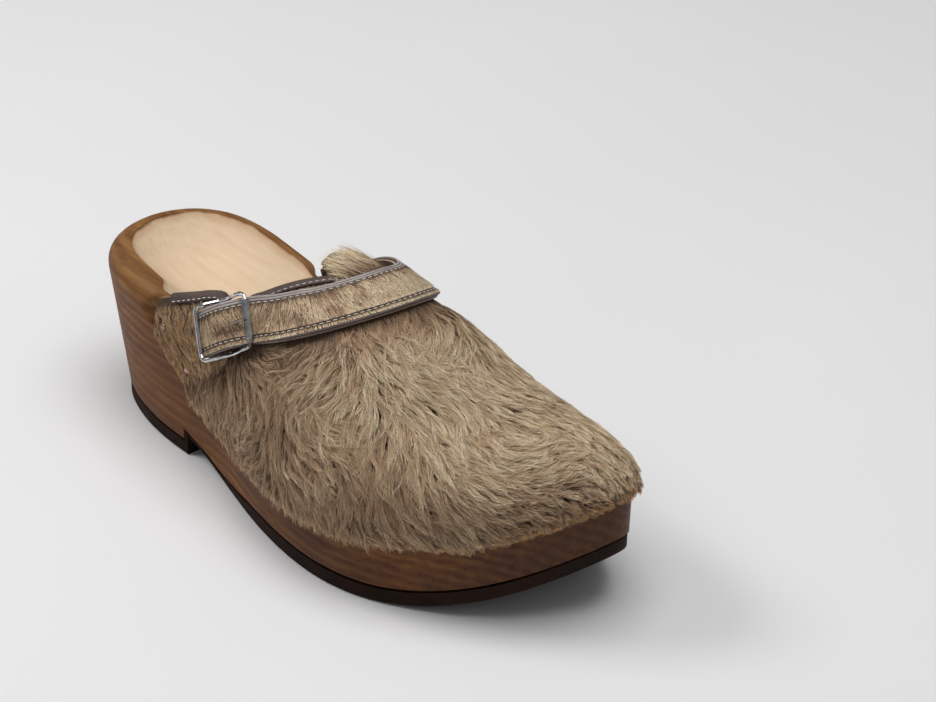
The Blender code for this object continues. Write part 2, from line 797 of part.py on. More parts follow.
class BuckleFrame:
    """Directions of the buckle: forward along the strap, across it, and out of the upper."""

    def __init__(self):
        front, rear = point_on_upper(*BUCKLE_FRONT), point_on_upper(*BUCKLE_REAR)
        forward = front - rear
        self.forward = forward / np.linalg.norm(forward)
        out = normal_on_upper(*BUCKLE_FRONT) + normal_on_upper(*BUCKLE_REAR)
        out -= self.forward * (out @ self.forward)
        self.out = out / np.linalg.norm(out)
        self.across = np.cross(self.out, self.forward)
        middle = point_on_upper(*(np.array(BUCKLE_FRONT) + BUCKLE_REAR) / 2)
        self.centre = (front + rear) / 2
        self.centre = self.centre + self.out * ((middle - self.centre) @ self.out)

    def at(self, forward, lift, across=0.0):
        return self.centre + self.forward * forward + self.out * lift + self.across * across


BUCKLE = BuckleFrame()


def strap_knots():
    """(point, normal) pairs along the underside of the strap, from its tip to its inner end."""
    knots = [(BUCKLE.at(u, lift), BUCKLE.out) for u, lift in STRAP_UNDER]
    for arc, y in STRAP_ROUTE:
        normal = normal_on_upper(arc, y)
        knots.append((point_on_upper(arc, y) + normal * STRAP_LIFT, normal))
    return knots


def eased(values):
    """The same run of values with its kinks smoothed out."""
    values = np.array(values)
    for _ in range(STRAP_EASING):
        values[1:-1] = (values[:-2] + 2 * values[1:-1] + values[2:]) / 4
    return values


def strap_path():
    """Evenly spaced (point, normal, across) places along the underside of the strap."""
    knots = strap_knots()
    gaps = [np.linalg.norm(b[0] - a[0]) for a, b in zip(knots, knots[1:])]
    travel = np.concatenate([[0.0], np.cumsum(gaps)])
    wanted = np.linspace(0.0, travel[-1], STRAP_STEPS + 1)

    def value(kind, at):
        return np.array([curve_value([(t, k[kind][i]) for t, k in zip(travel, knots)], at) for i in range(3)])

    points = eased([value(0, w) for w in wanted])
    normals = eased([value(1, w) for w in wanted])
    places = []
    for i, (point, normal) in enumerate(zip(points, normals)):
        along = points[min(i + 1, STRAP_STEPS)] - points[max(i - 1, 0)]
        across = np.cross(normal, along)
        across /= np.linalg.norm(across)
        square = np.cross(along, across)
        places.append((point, square / np.linalg.norm(square), across))
    return places, wanted


def half_width_at(travel, total):
    """Half width of the strap: narrower at the buckle, rounded off at its tip and inner end."""
    widen = smoothstep(*STRAP_TAPER, travel)
    half = (STRAP_WIDTH_AT_BUCKLE + (STRAP_WIDTH - STRAP_WIDTH_AT_BUCKLE) * widen) / 2
    nearest = min(travel, total - travel)
    if nearest >= TIP_LENGTH:
        return half
    t = 1 - nearest / TIP_LENGTH
    return half * math.sqrt(max(1 - t * t, 0.02))


def strap_layer(name, low, high, finish):
    places, travel = strap_path()
    profiles = []
    for (point, normal, across), at in zip(places, travel):
        half = half_width_at(at, travel[-1])
        spread = [across * half * share for share in (-1.0, -0.33, 0.33, 1.0)]
        over = [point + s + normal * high for s in spread]
        under = [point + s + normal * low for s in spread]
        profiles.append(over + under[::-1])
    return add_band(name, profiles, finish)


def slot_cutter(target):
    """Cuts the long hole that the prong passes through."""
    outline = []
    for k in range(12):
        angle = 2 * math.pi * (k + 0.5) / 12
        reach = SLOT_HALF_LENGTH - SLOT_RADIUS
        forward = SLOT_CENTRE + math.copysign(reach, math.cos(angle)) + SLOT_RADIUS * math.cos(angle)
        outline.append((forward, SLOT_RADIUS * math.sin(angle)))
    rows = [[BUCKLE.at(f, lift, a) for f, a in outline] for lift in (-1.0, 14.0)]
    count = len(outline)
    faces = grid_faces(2, count, wrap_columns=True)
    faces += [tuple(range(count)), tuple(range(count, 2 * count))]
    cut(target, f"slot_in_{target.name}", rows[0] + rows[1], faces)


def straps():
    top = material("strap_hide", (0.20, 0.12, 0.08), 0.9)
    under = material("strap_lining_leather", (0.45, 0.33, 0.27), 0.7)
    low = STRAP_LINING + STRAP_PLY_GAP
    lining = strap_layer("strap_lining", 0.0, STRAP_LINING, under)
    strap = strap_layer("instep_strap", low, low + STRAP_HIDE, top)
    slot_cutter(lining)
    slot_cutter(strap)
    return strap, lining


def tube(path, radius, sides=10, closed=False):
    """Points and faces of a round wire along a path; radius may be a list."""
    path = [np.array(p, float) for p in path]
    count = len(path)
    radii = radius if isinstance(radius, list) else [radius] * count
    points = []
    first = None
    for i, place in enumerate(path):
        if closed:
            along = path[(i + 1) % count] - path[i - 1]
        else:
            along = path[min(i + 1, count - 1)] - path[max(i - 1, 0)]
        along /= np.linalg.norm(along)
        if first is None:
            _, first, _ = axis_frame(along)
        first = first - along * (first @ along)
        first /= np.linalg.norm(first)
        second = np.cross(along, first)
        for k in range(sides):
            angle = 2 * math.pi * k / sides
            points.append(place + (first * math.cos(angle) + second * math.sin(angle)) * radii[i])
    faces = grid_faces(count, sides, wrap_rows=closed, wrap_columns=True)
    if not closed:
        faces += [tuple(range(sides)), tuple(range((count - 1) * sides, count * sides))]
    return points, faces


def buckle_rail_lift(forward):
    share = min(abs(forward) / (BUCKLE_HALF_LENGTH - BUCKLE_CORNER), 1.0)
    return CENTRE_BAR_LIFT + (END_BAR_LIFT - CENTRE_BAR_LIFT) * smoothstep(0.1, 1.0, share)


def buckle_outline():
    """(forward, across) points of the frame's wire, starting on the front bar."""
    length, width, corner = BUCKLE_HALF_LENGTH, BUCKLE_HALF_WIDTH, BUCKLE_CORNER
    quarter = []
    for angle in np.radians(np.linspace(0, 90, 6)):
        forward = length - corner + corner * math.cos(angle)
        quarter.append((forward, width - corner + corner * math.sin(angle)))
    side = [(f, width) for f in np.linspace(length - corner, 0.0, 6)[1:-1]]
    half = [(length, 0.0)] + quarter + side
    back = [(-f, a) for f, a in half[::-1]]
    front_half = half + [(0.0, width)] + back
    return front_half + [(f, -a) for f, a in front_half[-2:0:-1]]


def buckle(steel):
    ring = [BUCKLE.at(f, buckle_rail_lift(f), a) for f, a in buckle_outline()]
    points, faces = tube(ring, WIRE_RADIUS, sides=WIRE_SIDES, closed=True)
    pivot = BUCKLE.at(0.0, CENTRE_BAR_LIFT)
    frame = add_object("buckle_frame", points, faces, steel, origin=pivot)
    half = BUCKLE_HALF_WIDTH
    ends = [BUCKLE.at(0.0, CENTRE_BAR_LIFT, a) for a in (-half, half)]
    points, faces = tube(ends, WIRE_RADIUS * 0.93, sides=12)
    bar = add_object("centre_bar_shape", points, faces, steel)
    bar.hide_render = True
    bar.display_type = "WIRE"
    union = frame.modifiers.new("centre bar", "BOOLEAN")
    union.operation = "UNION"
    union.object = bar
    return frame


def roller(steel):
    centre = BUCKLE.at(BUCKLE_HALF_LENGTH, END_BAR_LIFT)
    half = ROLLER_LENGTH / 2
    sides = 16
    axis, first, second = axis_frame(BUCKLE.across)
    section = [
        (-half, ROLLER_BORE), (-half, ROLLER_RADIUS - 0.2), (-half + 0.2, ROLLER_RADIUS),
        (half - 0.2, ROLLER_RADIUS), (half, ROLLER_RADIUS - 0.2), (half, ROLLER_BORE),
    ]
    points = []
    for k in range(sides):
        angle = 2 * math.pi * k / sides
        outwards = first * math.cos(angle) + second * math.sin(angle)
        points += [centre + axis * a + outwards * r for a, r in section]
    faces = grid_faces(sides, len(section), wrap_rows=True, wrap_columns=True)
    return add_object("buckle_roller", points, faces, steel, origin=centre)


def prong(steel):
    """A wire that wraps round the centre bar and reaches forward over the roller."""
    turn = WIRE_RADIUS + PRONG_CLEARANCE + PRONG_RADIUS
    tip_forward, tip_lift = PRONG_TIP
    rise = tip_lift - CENTRE_BAR_LIFT
    reach = math.hypot(tip_forward, rise)
    slope = math.atan2(rise, tip_forward) - math.asin(turn / reach)
    leave = slope + math.pi / 2
    path = []
    for angle in np.linspace(leave + math.radians(290), leave, 15):
        path.append((turn * math.cos(angle), CENTRE_BAR_LIFT + turn * math.sin(angle)))
    start = np.array(path[-1])
    end = np.array(PRONG_TIP)
    path += [tuple(start + (end - start) * t) for t in (0.2, 0.45, 0.7, 0.9, 1.0)]
    radii = [PRONG_RADIUS] * (len(path) - 2) + [PRONG_RADIUS * 0.9, PRONG_RADIUS * 0.45]
    points, faces = tube([BUCKLE.at(f, lift) for f, lift in path], radii, sides=10)
    return add_object("buckle_prong", points, faces, steel, origin=BUCKLE.at(0.0, CENTRE_BAR_LIFT))


def chape_path():
    """(forward, lift) of the middle of the chape's leather: lower ply, loop and upper ply."""
    turn = CHAPE_BORE + CHAPE_LEATHER / 2
    loop = []
    for angle in np.radians(np.linspace(-110, 130, 11)):
        loop.append((turn * math.cos(angle), CENTRE_BAR_LIFT + turn * math.sin(angle)))
    upper = [(f, lift + CHAPE_PLY_STEP) for f, lift in CHAPE_UNDER[2::-1]]
    return [np.array(p) for p in CHAPE_UNDER + loop + upper]


def chape():
    finish = material("chape_leather", (0.16, 0.09, 0.05), 0.6)
    path = chape_path()
    profiles = []
    for i, place in enumerate(path):
        along = path[min(i + 1, len(path) - 1)] - path[max(i - 1, 0)]
        side = np.array([-along[1], along[0]]) / np.linalg.norm(along) * CHAPE_LEATHER / 2
        profile = []
        for sign, across in ((1, -0.5), (1, 0.5), (-1, 0.5), (-1, -0.5)):
            f, lift = place + side * sign
            profile.append(BUCKLE.at(f, lift, across * CHAPE_WIDTH))
        profiles.append(profile)
    made = add_band("chape", profiles, finish)
    corners = []
    for lift in (-3.0, 12.0):
        for f, a in ((-4.5, -0.5), (6.0, -0.5), (6.0, 0.5), (-4.5, 0.5)):
            corners.append(BUCKLE.at(f, lift, a * CHAPE_SLOT))
    box = grid_faces(2, 4, wrap_columns=True) + [(0, 1, 2, 3), (4, 5, 6, 7)]
    cut(made, "prong_gap_in_chape", corners, box)
    return made


def rivet(name, head, axis, length, parts, steel):
    """A flat-domed rivet with its head at `head`, through a clearance hole in each of the parts."""
    outline = [
        (-0.5, 0.0), (-0.45, RIVET_RADIUS * 0.6), (-0.15, RIVET_RADIUS * 0.95), (0.0, RIVET_RADIUS),
        (0.0, RIVET_SHANK_RADIUS), (length - 0.3, RIVET_SHANK_RADIUS), (length, 0.0),
    ]
    points, faces = turned(head, axis, outline, 12)
    add_object(name, points, faces, steel)
    bore = [(-3.0, RIVET_HOLE_RADIUS), (length + 0.5, RIVET_HOLE_RADIUS)]
    for part in parts:
        points, faces = turned(head, axis, bore, 10)
        cut(part, f"{name}_hole_in_{part.name}", points, faces)


def rivets(sole, hide, lining, strap, strap_under, loop):
    steel = material("rivet_steel", (0.35, 0.30, 0.25), 0.35, 1.0)
    lift = np.interp(CHAPE_RIVET_AT, *zip(*CHAPE_UNDER)) + CHAPE_PLY_STEP + CHAPE_LEATHER / 2 + 0.1
    head = BUCKLE.at(CHAPE_RIVET_AT, lift)
    rivet("chape_rivet", head, -BUCKLE.out, CHAPE_RIVET_LENGTH, (loop, hide, lining), steel)
    places, travel = strap_path()
    at = int(np.argmin(abs(travel - (travel[-1] - STRAP_RIVET_INSET))))
    point, normal, _ = places[at]
    head = point + normal * (STRAP_LINING + STRAP_PLY_GAP + STRAP_HIDE + 0.1)
    rivet("strap_rivet", head, -normal, STRAP_RIVET_LENGTH, (strap, strap_under, hide, sole), steel)


# ---------------------------------------------------------------- scene

def clear_scene():
    for old in list(bpy.data.objects):
        bpy.data.objects.remove(old, do_unlink=True)


def main():
    clear_scene()
    sole = wooden_sole()
    rubber_outsole()
    hide = hide_upper()
    lining = leather_lining()
    bindings()
    nails(hide, sole)
    steel = material("buckle_chrome", (0.78, 0.78, 0.80), 0.15, 1.0)
    strap, strap_under = straps()
    buckle(steel)
    roller(steel)
    prong(steel)
    loop = chape()
    rivets(sole, hide, lining, strap, strap_under, loop)


main()
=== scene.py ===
"""Looks of the wooden clog: a smooth carved sole, long wavy hair on the hide, stitched edges and strap."""

import math

import bmesh
import bpy
import numpy as np
from mathutils import Matrix, Vector
from mathutils.bvhtree import BVHTree


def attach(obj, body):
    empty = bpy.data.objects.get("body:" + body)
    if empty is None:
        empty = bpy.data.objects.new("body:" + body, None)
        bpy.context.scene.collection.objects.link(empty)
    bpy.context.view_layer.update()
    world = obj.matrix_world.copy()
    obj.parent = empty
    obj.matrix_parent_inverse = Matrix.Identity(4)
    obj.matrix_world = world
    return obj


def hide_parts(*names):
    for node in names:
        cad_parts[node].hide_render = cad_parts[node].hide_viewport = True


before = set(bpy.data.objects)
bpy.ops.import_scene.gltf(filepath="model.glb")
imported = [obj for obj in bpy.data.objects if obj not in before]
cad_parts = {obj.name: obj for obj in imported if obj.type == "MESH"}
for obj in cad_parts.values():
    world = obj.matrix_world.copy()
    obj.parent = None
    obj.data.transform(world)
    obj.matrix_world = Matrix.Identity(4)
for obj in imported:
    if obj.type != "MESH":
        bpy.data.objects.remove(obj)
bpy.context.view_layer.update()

MM = 0.001
GAP = 0.3
CENTRE_SHIFT = np.array([-0.10, -2.63, 0.0])

# Sole outline at the ground, seen from above, from the heel round by the outer side to the toe.
OUTLINE = [
    (-3, 135), (-22, 128.5), (-33.5, 107), (-38, 79), (-39.5, 46), (-48, 12), (-54, -26),
    (-50, -59), (-35, -88.5), (-15, -114), (6.5, -130), (28.5, -137), (44.5, -122), (52.5, -97),
    (53.5, -62), (48, -22), (42, 18), (37, 58), (31.5, 88), (26.5, 113), (15, 129),
]
HEEL_CENTRE_Y = 98.0
TOE_CENTRE_Y = -90.0
SPINE = [(-90, 12), (-60, 9), (-30, 8), (5, 7), (30, 4), (60, 0), (98, -2)]

# Heights along the length, as (y, z) pairs.
BREAST_Y = 70.0
BREAST_RUBBER = 2.0
HEEL_LIFT = 7.0
NOTCH_Z = 12.5
ARCH = [(-5, 7.5), (12, 7.0), (30, 4.6), (42, 4.4), (54, 7.5), (70, NOTCH_Z)]
GROUND = [(28, 0.0), (36, 0.5), (44, 2.0), (54, 5.2), (70, NOTCH_Z - BREAST_RUBBER)]
SPRING_START_Y = -58.0
SPRING_AT_TIP = 28.0
SPRING_POWER = 2.2
TIP_Y = -137.0
CREST = [
    (-137, 33), (-100, 36.5), (-60, 38), (-30, 39), (0, 46), (25, 57), (50, 66), (68, 71.5), (85, 75),
    (135, 76.3),
]
FOOTBED = [(-60, 33), (-30, 33), (0, 37), (20, 43), (40, 51), (60, 57), (80, 60), (110, 61)]
LEDGE = [
    (-137, 29), (-90, 31), (-60, 31), (-20, 30), (20, 30.5), (45, 32), (57, 36), (66, 42), (75, 49.5),
    (84, 58), (93, 66),
]
FLARE = [(-90, 1.5), (40, 1.5), (90, 4.5), (135, 9.5)]
FLARE_TOP_Z = 66.0

# The rebate holds the hide, so it runs as far back as each tab: further on the outer side.
REBATE = 3.0
REBATE_START_OUTER = 90.0
REBATE_START_INNER = 67.0
REBATE_BLEND = 4.0
WALL_LEAN = [(-137, 0.26), (30, 0.26), (46, 0.2), (60, 0.15), (84, 0.13)]
SHOULDER_HEEL = (9.5, 9.0)
SHOULDER_SIDE_CHANGE = 2.0
SHOULDER_FRONT = (2.0, 2.0)
STEP_DROP = 0.7
DISH_POWER = 2.3

# Upper: crown height along the length, and the fullness of each side of its cross-section.
CROWN = [(-90, 72), (-60, 77), (-45, 83), (-30, 89.5), (-13, 97), (2, 101.5), (18, 103), (90, 103)]
FULLNESS_OUTER = [(-90, 2.6), (-40, 2.2), (8, 1.95), (30, 2.1), (50, 2.5), (84, 2.8)]
FULLNESS_INNER = [(-90, 2.6), (-40, 2.8), (0, 3.0), (32, 3.0), (60, 2.6)]
HIDE_PROUD = 1.0
HIDE_ABOVE_LEDGE = 0.7
HIDE_BASE = 3.6
HIDE_BODY = 4.6
HIDE_EDGE = 2.4
BODY_ANGLE = 0.5
THIN_FROM = 11.0
THIN_TO = 5.0
THROAT_Y = 12.0

# Top line of the hide on each side: (y, z) over the tab, the notch and the corner of the tongue.
TOPLINE_OUTER = [
    (84, 74), (77, 78.5), (66, 83.5), (58, 87), (53.4, 88), (50.2, 86), (48.4, 82), (47.4, 78),
    (45.2, 76.2), (43, 77.8), (42, 83), (40.6, 88), (38, 92), (34, 94.5),
]
TOPLINE_INNER = [
    (60, 74), (56, 79.5), (50.5, 85), (45, 87.5), (41.6, 87), (38.9, 83.8), (37.6, 79.4), (36.6, 75.4),
    (34.4, 73.4), (32.2, 75.2), (31.5, 82), (30.2, 88), (27.8, 92.5), (25.6, 94.8), (22.8, 96.2),
    (19.6, 97.2),
]
NOTCH_POINT = 8
TONGUE_STEPS = 8

BINDING_LEG = 3.0
BINDING_INNER_LEG = 1.8
BINDING_LEATHER = 0.9
BINDING_GAP = 0.55

# Route of the instep strap as (arc, y): arc is -1 at the outer base, 0 on the crown, 1 at the inner base.
STRAP_ROUTE = [
    (-0.43, 22.0), (-0.36, 13.5), (-0.26, 3.5), (-0.08, -5.0), (0.12, -7.0), (0.30, -4.0),
    (0.46, 5.0), (0.60, 20.0), (0.73, 34.0), (0.86, 47.0),
]
STRAP_WIDTH = 22.4
STRAP_WIDTH_AT_BUCKLE = 20.2
STRAP_TAPER = (30.0, 60.0)
STRAP_HIDE = 1.4
STRAP_LINING = 0.8
STRAP_PLY_GAP = 0.35
STRAP_LIFT = 1.1
STRAP_STEPS = 60
STRAP_EASING = 3
TIP_LENGTH = 8.0

# The buckle lies over these two places of the upper, given as (arc, y) like the route.
BUCKLE_FRONT = (-0.463, 28.3)
BUCKLE_REAR = (-0.718, 52.1)
# Height of the underside of the strap along the buckle: (distance forward of the centre bar, lift).
STRAP_UNDER = [(-19, 0.2), (-14.6, 1.1), (-11, 2.9), (-6, 4.5), (0, 5.5), (6, 4.1), (14.6, 0.1)]
SLOT_CENTRE = 4.0
SLOT_HALF_LENGTH = 6.2
SLOT_RADIUS = 1.5


# ---------------------------------------------------------------- look settings

SEED = 11
BODY = "clog"

# Camera, in millimetres in the frame of the sole's outline.
CAMERA_PLACE = (-987.6, -1166.8, 1061.1)
CAMERA_FORWARD = (0.56253, 0.62344, -0.54303)
CAMERA_UP = (0.35101, 0.41458, 0.83959)
CAMERA_LENS = 164.7

HAIR_SHADES = {
    "hair_root_dark": (0.148, 0.087, 0.049),
    "hair_root_brown": (0.244, 0.149, 0.087),
    "hair_mid_brown": (0.347, 0.224, 0.133),
    "hair_mid_tan": (0.494, 0.343, 0.208),
    "hair_mid_grey": (0.547, 0.421, 0.280),
    "hair_tip_tan": (0.664, 0.490, 0.308),
    "hair_tip_cream": (0.860, 0.721, 0.491),
    "hair_tip_ash": (0.768, 0.628, 0.437),
    "hair_tip_gold": (0.649, 0.360, 0.130),
    "hair_rust": (0.295, 0.133, 0.061),
}
# The order of the colours above, as the hair's material numbers.
ROOT_DARK, ROOT_BROWN, MID_BROWN, MID_TAN, MID_GREY, TIP_TAN, TIP_CREAM, TIP_ASH, TIP_GOLD, RUST = range(10)

# Dark and light colour of each hide base.
HIDE_LOOKS = [
    ("hide_base", (0.035, 0.020, 0.012), (0.130, 0.080, 0.048)),
    ("strap_base", (0.060, 0.035, 0.022), (0.170, 0.110, 0.070)),
]

# Dark and light colour of each leather, its roughness, and its grain and bump where they differ.
LEATHER_LOOKS = [
    ("lining", (0.500, 0.320, 0.235), (0.680, 0.480, 0.375), 0.7),
    ("binding", (0.034, 0.021, 0.018), (0.120, 0.078, 0.064), 0.62, 1100.0, 0.7),
    ("strap_edge", (0.250, 0.215, 0.205), (0.480, 0.430, 0.415), 0.5),
    ("strap_edge_dark", (0.075, 0.056, 0.055), (0.20, 0.155, 0.150), 0.5),
    ("strap_lining", (0.300, 0.215, 0.165), (0.460, 0.345, 0.275), 0.65),
    ("chape", (0.075, 0.040, 0.024), (0.170, 0.100, 0.060), 0.5),
]

# Dark and light colour of each metal, with its least and most roughness.
METAL_LOOKS = [
    ("chrome", (0.42, 0.42, 0.43), (0.68, 0.68, 0.69), 0.06, 0.17),
    ("prong", (0.200, 0.175, 0.160), (0.360, 0.320, 0.290), 0.25, 0.45),
    ("rivet", (0.130, 0.090, 0.070), (0.300, 0.220, 0.170), 0.3, 0.55),
    ("nail", (0.340, 0.200, 0.150), (0.620, 0.420, 0.330), 0.28, 0.5),
]

# Hair of each region: lengths and lifts in millimetres.
VAMP_LENGTH = 21.0
TOE_LENGTH = 12.0
TAB_LENGTH = 7.5
EDGE_LENGTH = 5.0
VAMP_LIFT = 3.6
TAB_LIFT = 1.3

# Numbers of hairs, the rows of points on one, and how they are grouped.
HAIR_COUNT = 100000
HAIR_PIECES = 8
LOCK_AREA = 3.4
GUIDE_STEPS = 8
STRAND_ROWS = 7
STRAP_HAIR_COUNT = 13000
TONGUE_HAIR_TRIES = 120000

# Strands: widths at the root in millimetres, as (least, most).
STRAND_WIDTH = (0.19, 0.31)
STRAP_STRAND_WIDTH = (0.24, 0.42)
TONGUE_STRAND_WIDTH = (0.2, 0.32)

# How far a strand is drawn to the middle of its lock, and how far it waves to each side in millimetres.
LOCK_PULL = (0.12, 0.5)
STRAND_WAVE = (0.15, 0.8)

# Length in millimetres of the waves in the hair's direction, its bend and its colour.
SWIRL_WAVELENGTH = 46.0
BEND_WAVELENGTH = 32.0
TONE_WAVELENGTH = 34.0
STRAP_TONE_WAVELENGTH = 9.0

# Painted light: hair whose face turns this way, up towards the lamps, gets the lightest shades.
LIGHT_FACING_WAY = (0.35, -0.1, 0.93)

# The hair of the tongue's inner corner: first and last way of a strand.
TONGUE_START_WAY = (-0.55, 0.75, 0.5)
TONGUE_END_WAY = (-0.6, 0.5, -0.5)

# How far the strap's tip reaches behind the middle of the buckle.
STRAP_TIP_REACH = 19.0

# Which way the hair lies at places of the upper: (place, direction), in millimetres.
FLOW = [
    ((-38, 45, 62), (-0.1, -0.1, -1.0)),
    ((-40, 20, 60), (-0.1, -0.25, -1.0)),
    ((-44, -5, 62), (-0.25, -0.25, -1.0)),
    ((-30, 5, 88), (-0.9, 0.15, -0.7)),
    ((-20, -14, 92), (-0.8, -0.35, -0.6)),
    ((-2, -18, 97), (-0.1, -1.0, -0.5)),
    ((-47, -40, 52), (0.05, -0.55, -1.0)),
    ((-36, -38, 74), (-0.35, -0.6, -0.9)),
    ((-20, -45, 84), (0.1, -1.0, -0.45)),
    ((5, -45, 86), (0.45, -0.95, -0.3)),
    ((-40, -70, 50), (0.25, -0.9, -0.45)),
    ((-25, -75, 64), (0.35, -0.95, -0.45)),
    ((8, -75, 75), (0.5, -0.9, -0.25)),
    ((-18, -102, 52), (0.65, -0.8, -0.25)),
    ((25, -105, 62), (0.35, -1.0, -0.3)),
    ((30, -125, 54), (0.1, -1.0, -0.3)),
    ((48, -100, 52), (0.35, -0.9, -0.5)),
    ((40, -70, 66), (0.65, -0.7, -0.5)),
    ((46, -40, 58), (0.3, -0.5, -1.0)),
    ((30, -30, 85), (0.7, -0.6, -0.5)),
    ((40, 0, 66), (0.35, -0.35, -1.0)),
    ((36, 40, 66), (0.1, -0.1, -1.0)),
    ((-24, 34, 92), (-0.5, -0.4, -0.6)),
    ((6, 8, 103), (0.0, -1.0, -0.1)),
    ((28, 24, 92), (0.5, -0.5, -0.6)),
]
FLOW_REACH = 17.0

# Each lamp: name, place in metres, size in metres, power in watts, colour.
LIGHTS = [
    ("key", (-0.50, 0.75, 1.05), 0.55, 7.2, (1.0, 0.985, 0.96)),
    ("top", (0.1, -0.22, 1.45), 1.0, 11.5, (1.0, 1.0, 1.0)),
    ("front_fill", (-1.1, -1.3, 0.8), 1.2, 0.5, (0.96, 0.98, 1.0)),
]


# ---------------------------------------------------------------- curves

def curve_value(knots, at):
    """Height at `at` on a smooth curve through (position, value) knots, flat beyond the ends."""
    xs = np.array([k[0] for k in knots], float)
    ys = np.array([k[1] for k in knots], float)
    order = np.argsort(xs)
    xs, ys = xs[order], ys[order]
    slope = np.gradient(ys, xs)
    at = np.clip(at, xs[0], xs[-1])
    i = np.clip(np.searchsorted(xs, at) - 1, 0, len(xs) - 2)
    span = xs[i + 1] - xs[i]
    t = (at - xs[i]) / span
    return (
        (2 * t**3 - 3 * t**2 + 1) * ys[i]
        + (t**3 - 2 * t**2 + t) * span * slope[i]
        + (3 * t**2 - 2 * t**3) * ys[i + 1]
        + (t**3 - t**2) * span * slope[i + 1]
    )


def smoothstep(low, high, at):
    """0 up to low, 1 from high on, smooth in between."""
    t = min(max((at - low) / (high - low), 0.0), 1.0)
    return t * t * (3 - 2 * t)


def smooth_loop(points, per_span=40):
    """Closed cubic B-spline that passes through every point."""
    points = np.array(points, float)
    count = len(points)
    through = np.eye(count) * 4 / 6
    for i in range(count):
        through[i, (i - 1) % count] = 1 / 6
        through[i, (i + 1) % count] = 1 / 6
    control = np.linalg.solve(through, points)
    found = []
    for i in range(count):
        a, b, c, d = (control[(i + k - 1) % count] for k in range(4))
        for t in np.arange(per_span) / per_span:
            found.append(
                ((1 - t) ** 3 * a + (3 * t**3 - 6 * t**2 + 4) * b
                 + (-3 * t**3 + 3 * t**2 + 3 * t + 1) * c + t**3 * d) / 6
            )
    return np.array(found)


LOOP = smooth_loop(OUTLINE)


def loop_hit(core, direction):
    """Where a ray from `core` leaves the outline."""
    across = np.array([-direction[1], direction[0]])
    side = (LOOP - core) @ across
    ahead = (LOOP - core) @ direction
    best = None
    for i in range(len(LOOP)):
        j = (i + 1) % len(LOOP)
        if (side[i] <= 0) == (side[j] <= 0):
            continue
        t = side[i] / (side[i] - side[j])
        reach = ahead[i] + t * (ahead[j] - ahead[i])
        if reach > 0 and (best is None or reach < best):
            best = reach
    return core + direction * best


# ---------------------------------------------------------------- columns

class Column:
    """A vertical slice from the spine out to one point of the outline."""

    def __init__(self, core, direction, side):
        self.core = np.array(core, float)
        self.out = np.array(direction, float)
        self.edge = loop_hit(self.core, self.out)
        self.reach = float(np.linalg.norm(self.edge - self.core))
        self.side = side

    @property
    def y(self):
        return float(self.edge[1])

    def at(self, inset, z):
        """Point that far in from the outline, at height z."""
        place = self.edge - self.out * inset
        return np.array([place[0], place[1], z])

    def share(self, fraction):
        """Point at a fraction of the way from the spine to the outline."""
        return self.core + self.out * self.reach * fraction


def spine(y):
    return np.array([curve_value(SPINE, y), y])


def side_column(y, side):
    return Column(spine(y), (side, 0.0), side)


def fan_columns(centre_y, start, stop, count):
    """Columns that fan round one end, between two angles in degrees, without the end angles."""
    centre = spine(centre_y)
    found = []
    for angle in np.radians(np.linspace(start, stop, count + 2)[1:-1]):
        found.append(Column(centre, (math.cos(angle), math.sin(angle)), math.cos(angle)))
    return found


# ---------------------------------------------------------------- heights

def spring(y):
    """How far the toe of the sole has risen off the ground."""
    t = max((SPRING_START_Y - y) / (SPRING_START_Y - TIP_Y), 0.0)
    return SPRING_AT_TIP * t**SPRING_POWER


def wood_bottom(y):
    if y > BREAST_Y + 0.1:
        return HEEL_LIFT
    return curve_value(ARCH, y) + spring(y)


def rubber_top(y):
    if y > BREAST_Y - 0.4:
        return HEEL_LIFT - GAP
    return curve_value(ARCH, y) + spring(y) - GAP


def rubber_bottom(y):
    if y > BREAST_Y - BREAST_RUBBER:
        return 0.0
    return curve_value(GROUND, y) + spring(y)


def crest_z(y):
    return curve_value(CREST, y) + spring(y)


def ledge_z(y):
    return curve_value(LEDGE, y) + spring(y)


def footbed_z(y):
    return curve_value(FOOTBED, y) + spring(y) * 0.85


def flare(y, z):
    """How far the wooden wall has moved outwards by height z."""
    return curve_value(FLARE, y) * min(max(z - HEEL_LIFT, 0.0) / (FLARE_TOP_Z - HEEL_LIFT), 1.1)


# ---------------------------------------------------------------- meshes and materials

def placed(points):
    """Points from the outline's frame in millimetres to the frame of the CAD in metres."""
    return (np.array(points, float) + CENTRE_SHIFT) * MM


def face_outwards(mesh):
    """Joins points that lie on each other and turns the faces outwards."""
    build = bmesh.new()
    build.from_mesh(mesh)
    bmesh.ops.remove_doubles(build, verts=build.verts, dist=1e-7)
    bmesh.ops.recalc_face_normals(build, faces=build.faces)
    build.to_mesh(mesh)
    build.free()


def add_piece(name, points, faces, finishes, indices=None, smooth=40.0, tidy=True):
    """A piece of the visual model, from points in millimetres, riding on the clog."""
    mesh = bpy.data.meshes.new(name)
    mesh.from_pydata(placed(points), [], faces)
    for finish in finishes:
        mesh.materials.append(finish)
    if indices is not None:
        mesh.polygons.foreach_set("material_index", np.array(indices, np.int32))
    if tidy:
        face_outwards(mesh)
    mesh.shade_smooth()
    if smooth:
        mesh.set_sharp_from_angle(angle=math.radians(smooth))
    made = bpy.data.objects.new(name, mesh)
    bpy.context.scene.collection.objects.link(made)
    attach(made, BODY)
    return made


def grid_faces(rows, columns, wrap_rows=False, wrap_columns=False):
    """Four-sided faces of a grid of points given row by row, closed round either way."""
    faces = []
    for i in range(rows if wrap_rows else rows - 1):
        for j in range(columns if wrap_columns else columns - 1):
            k, m = (i + 1) % rows, (j + 1) % columns
            faces.append((i * columns + j, k * columns + j, k * columns + m, i * columns + m))
    return faces


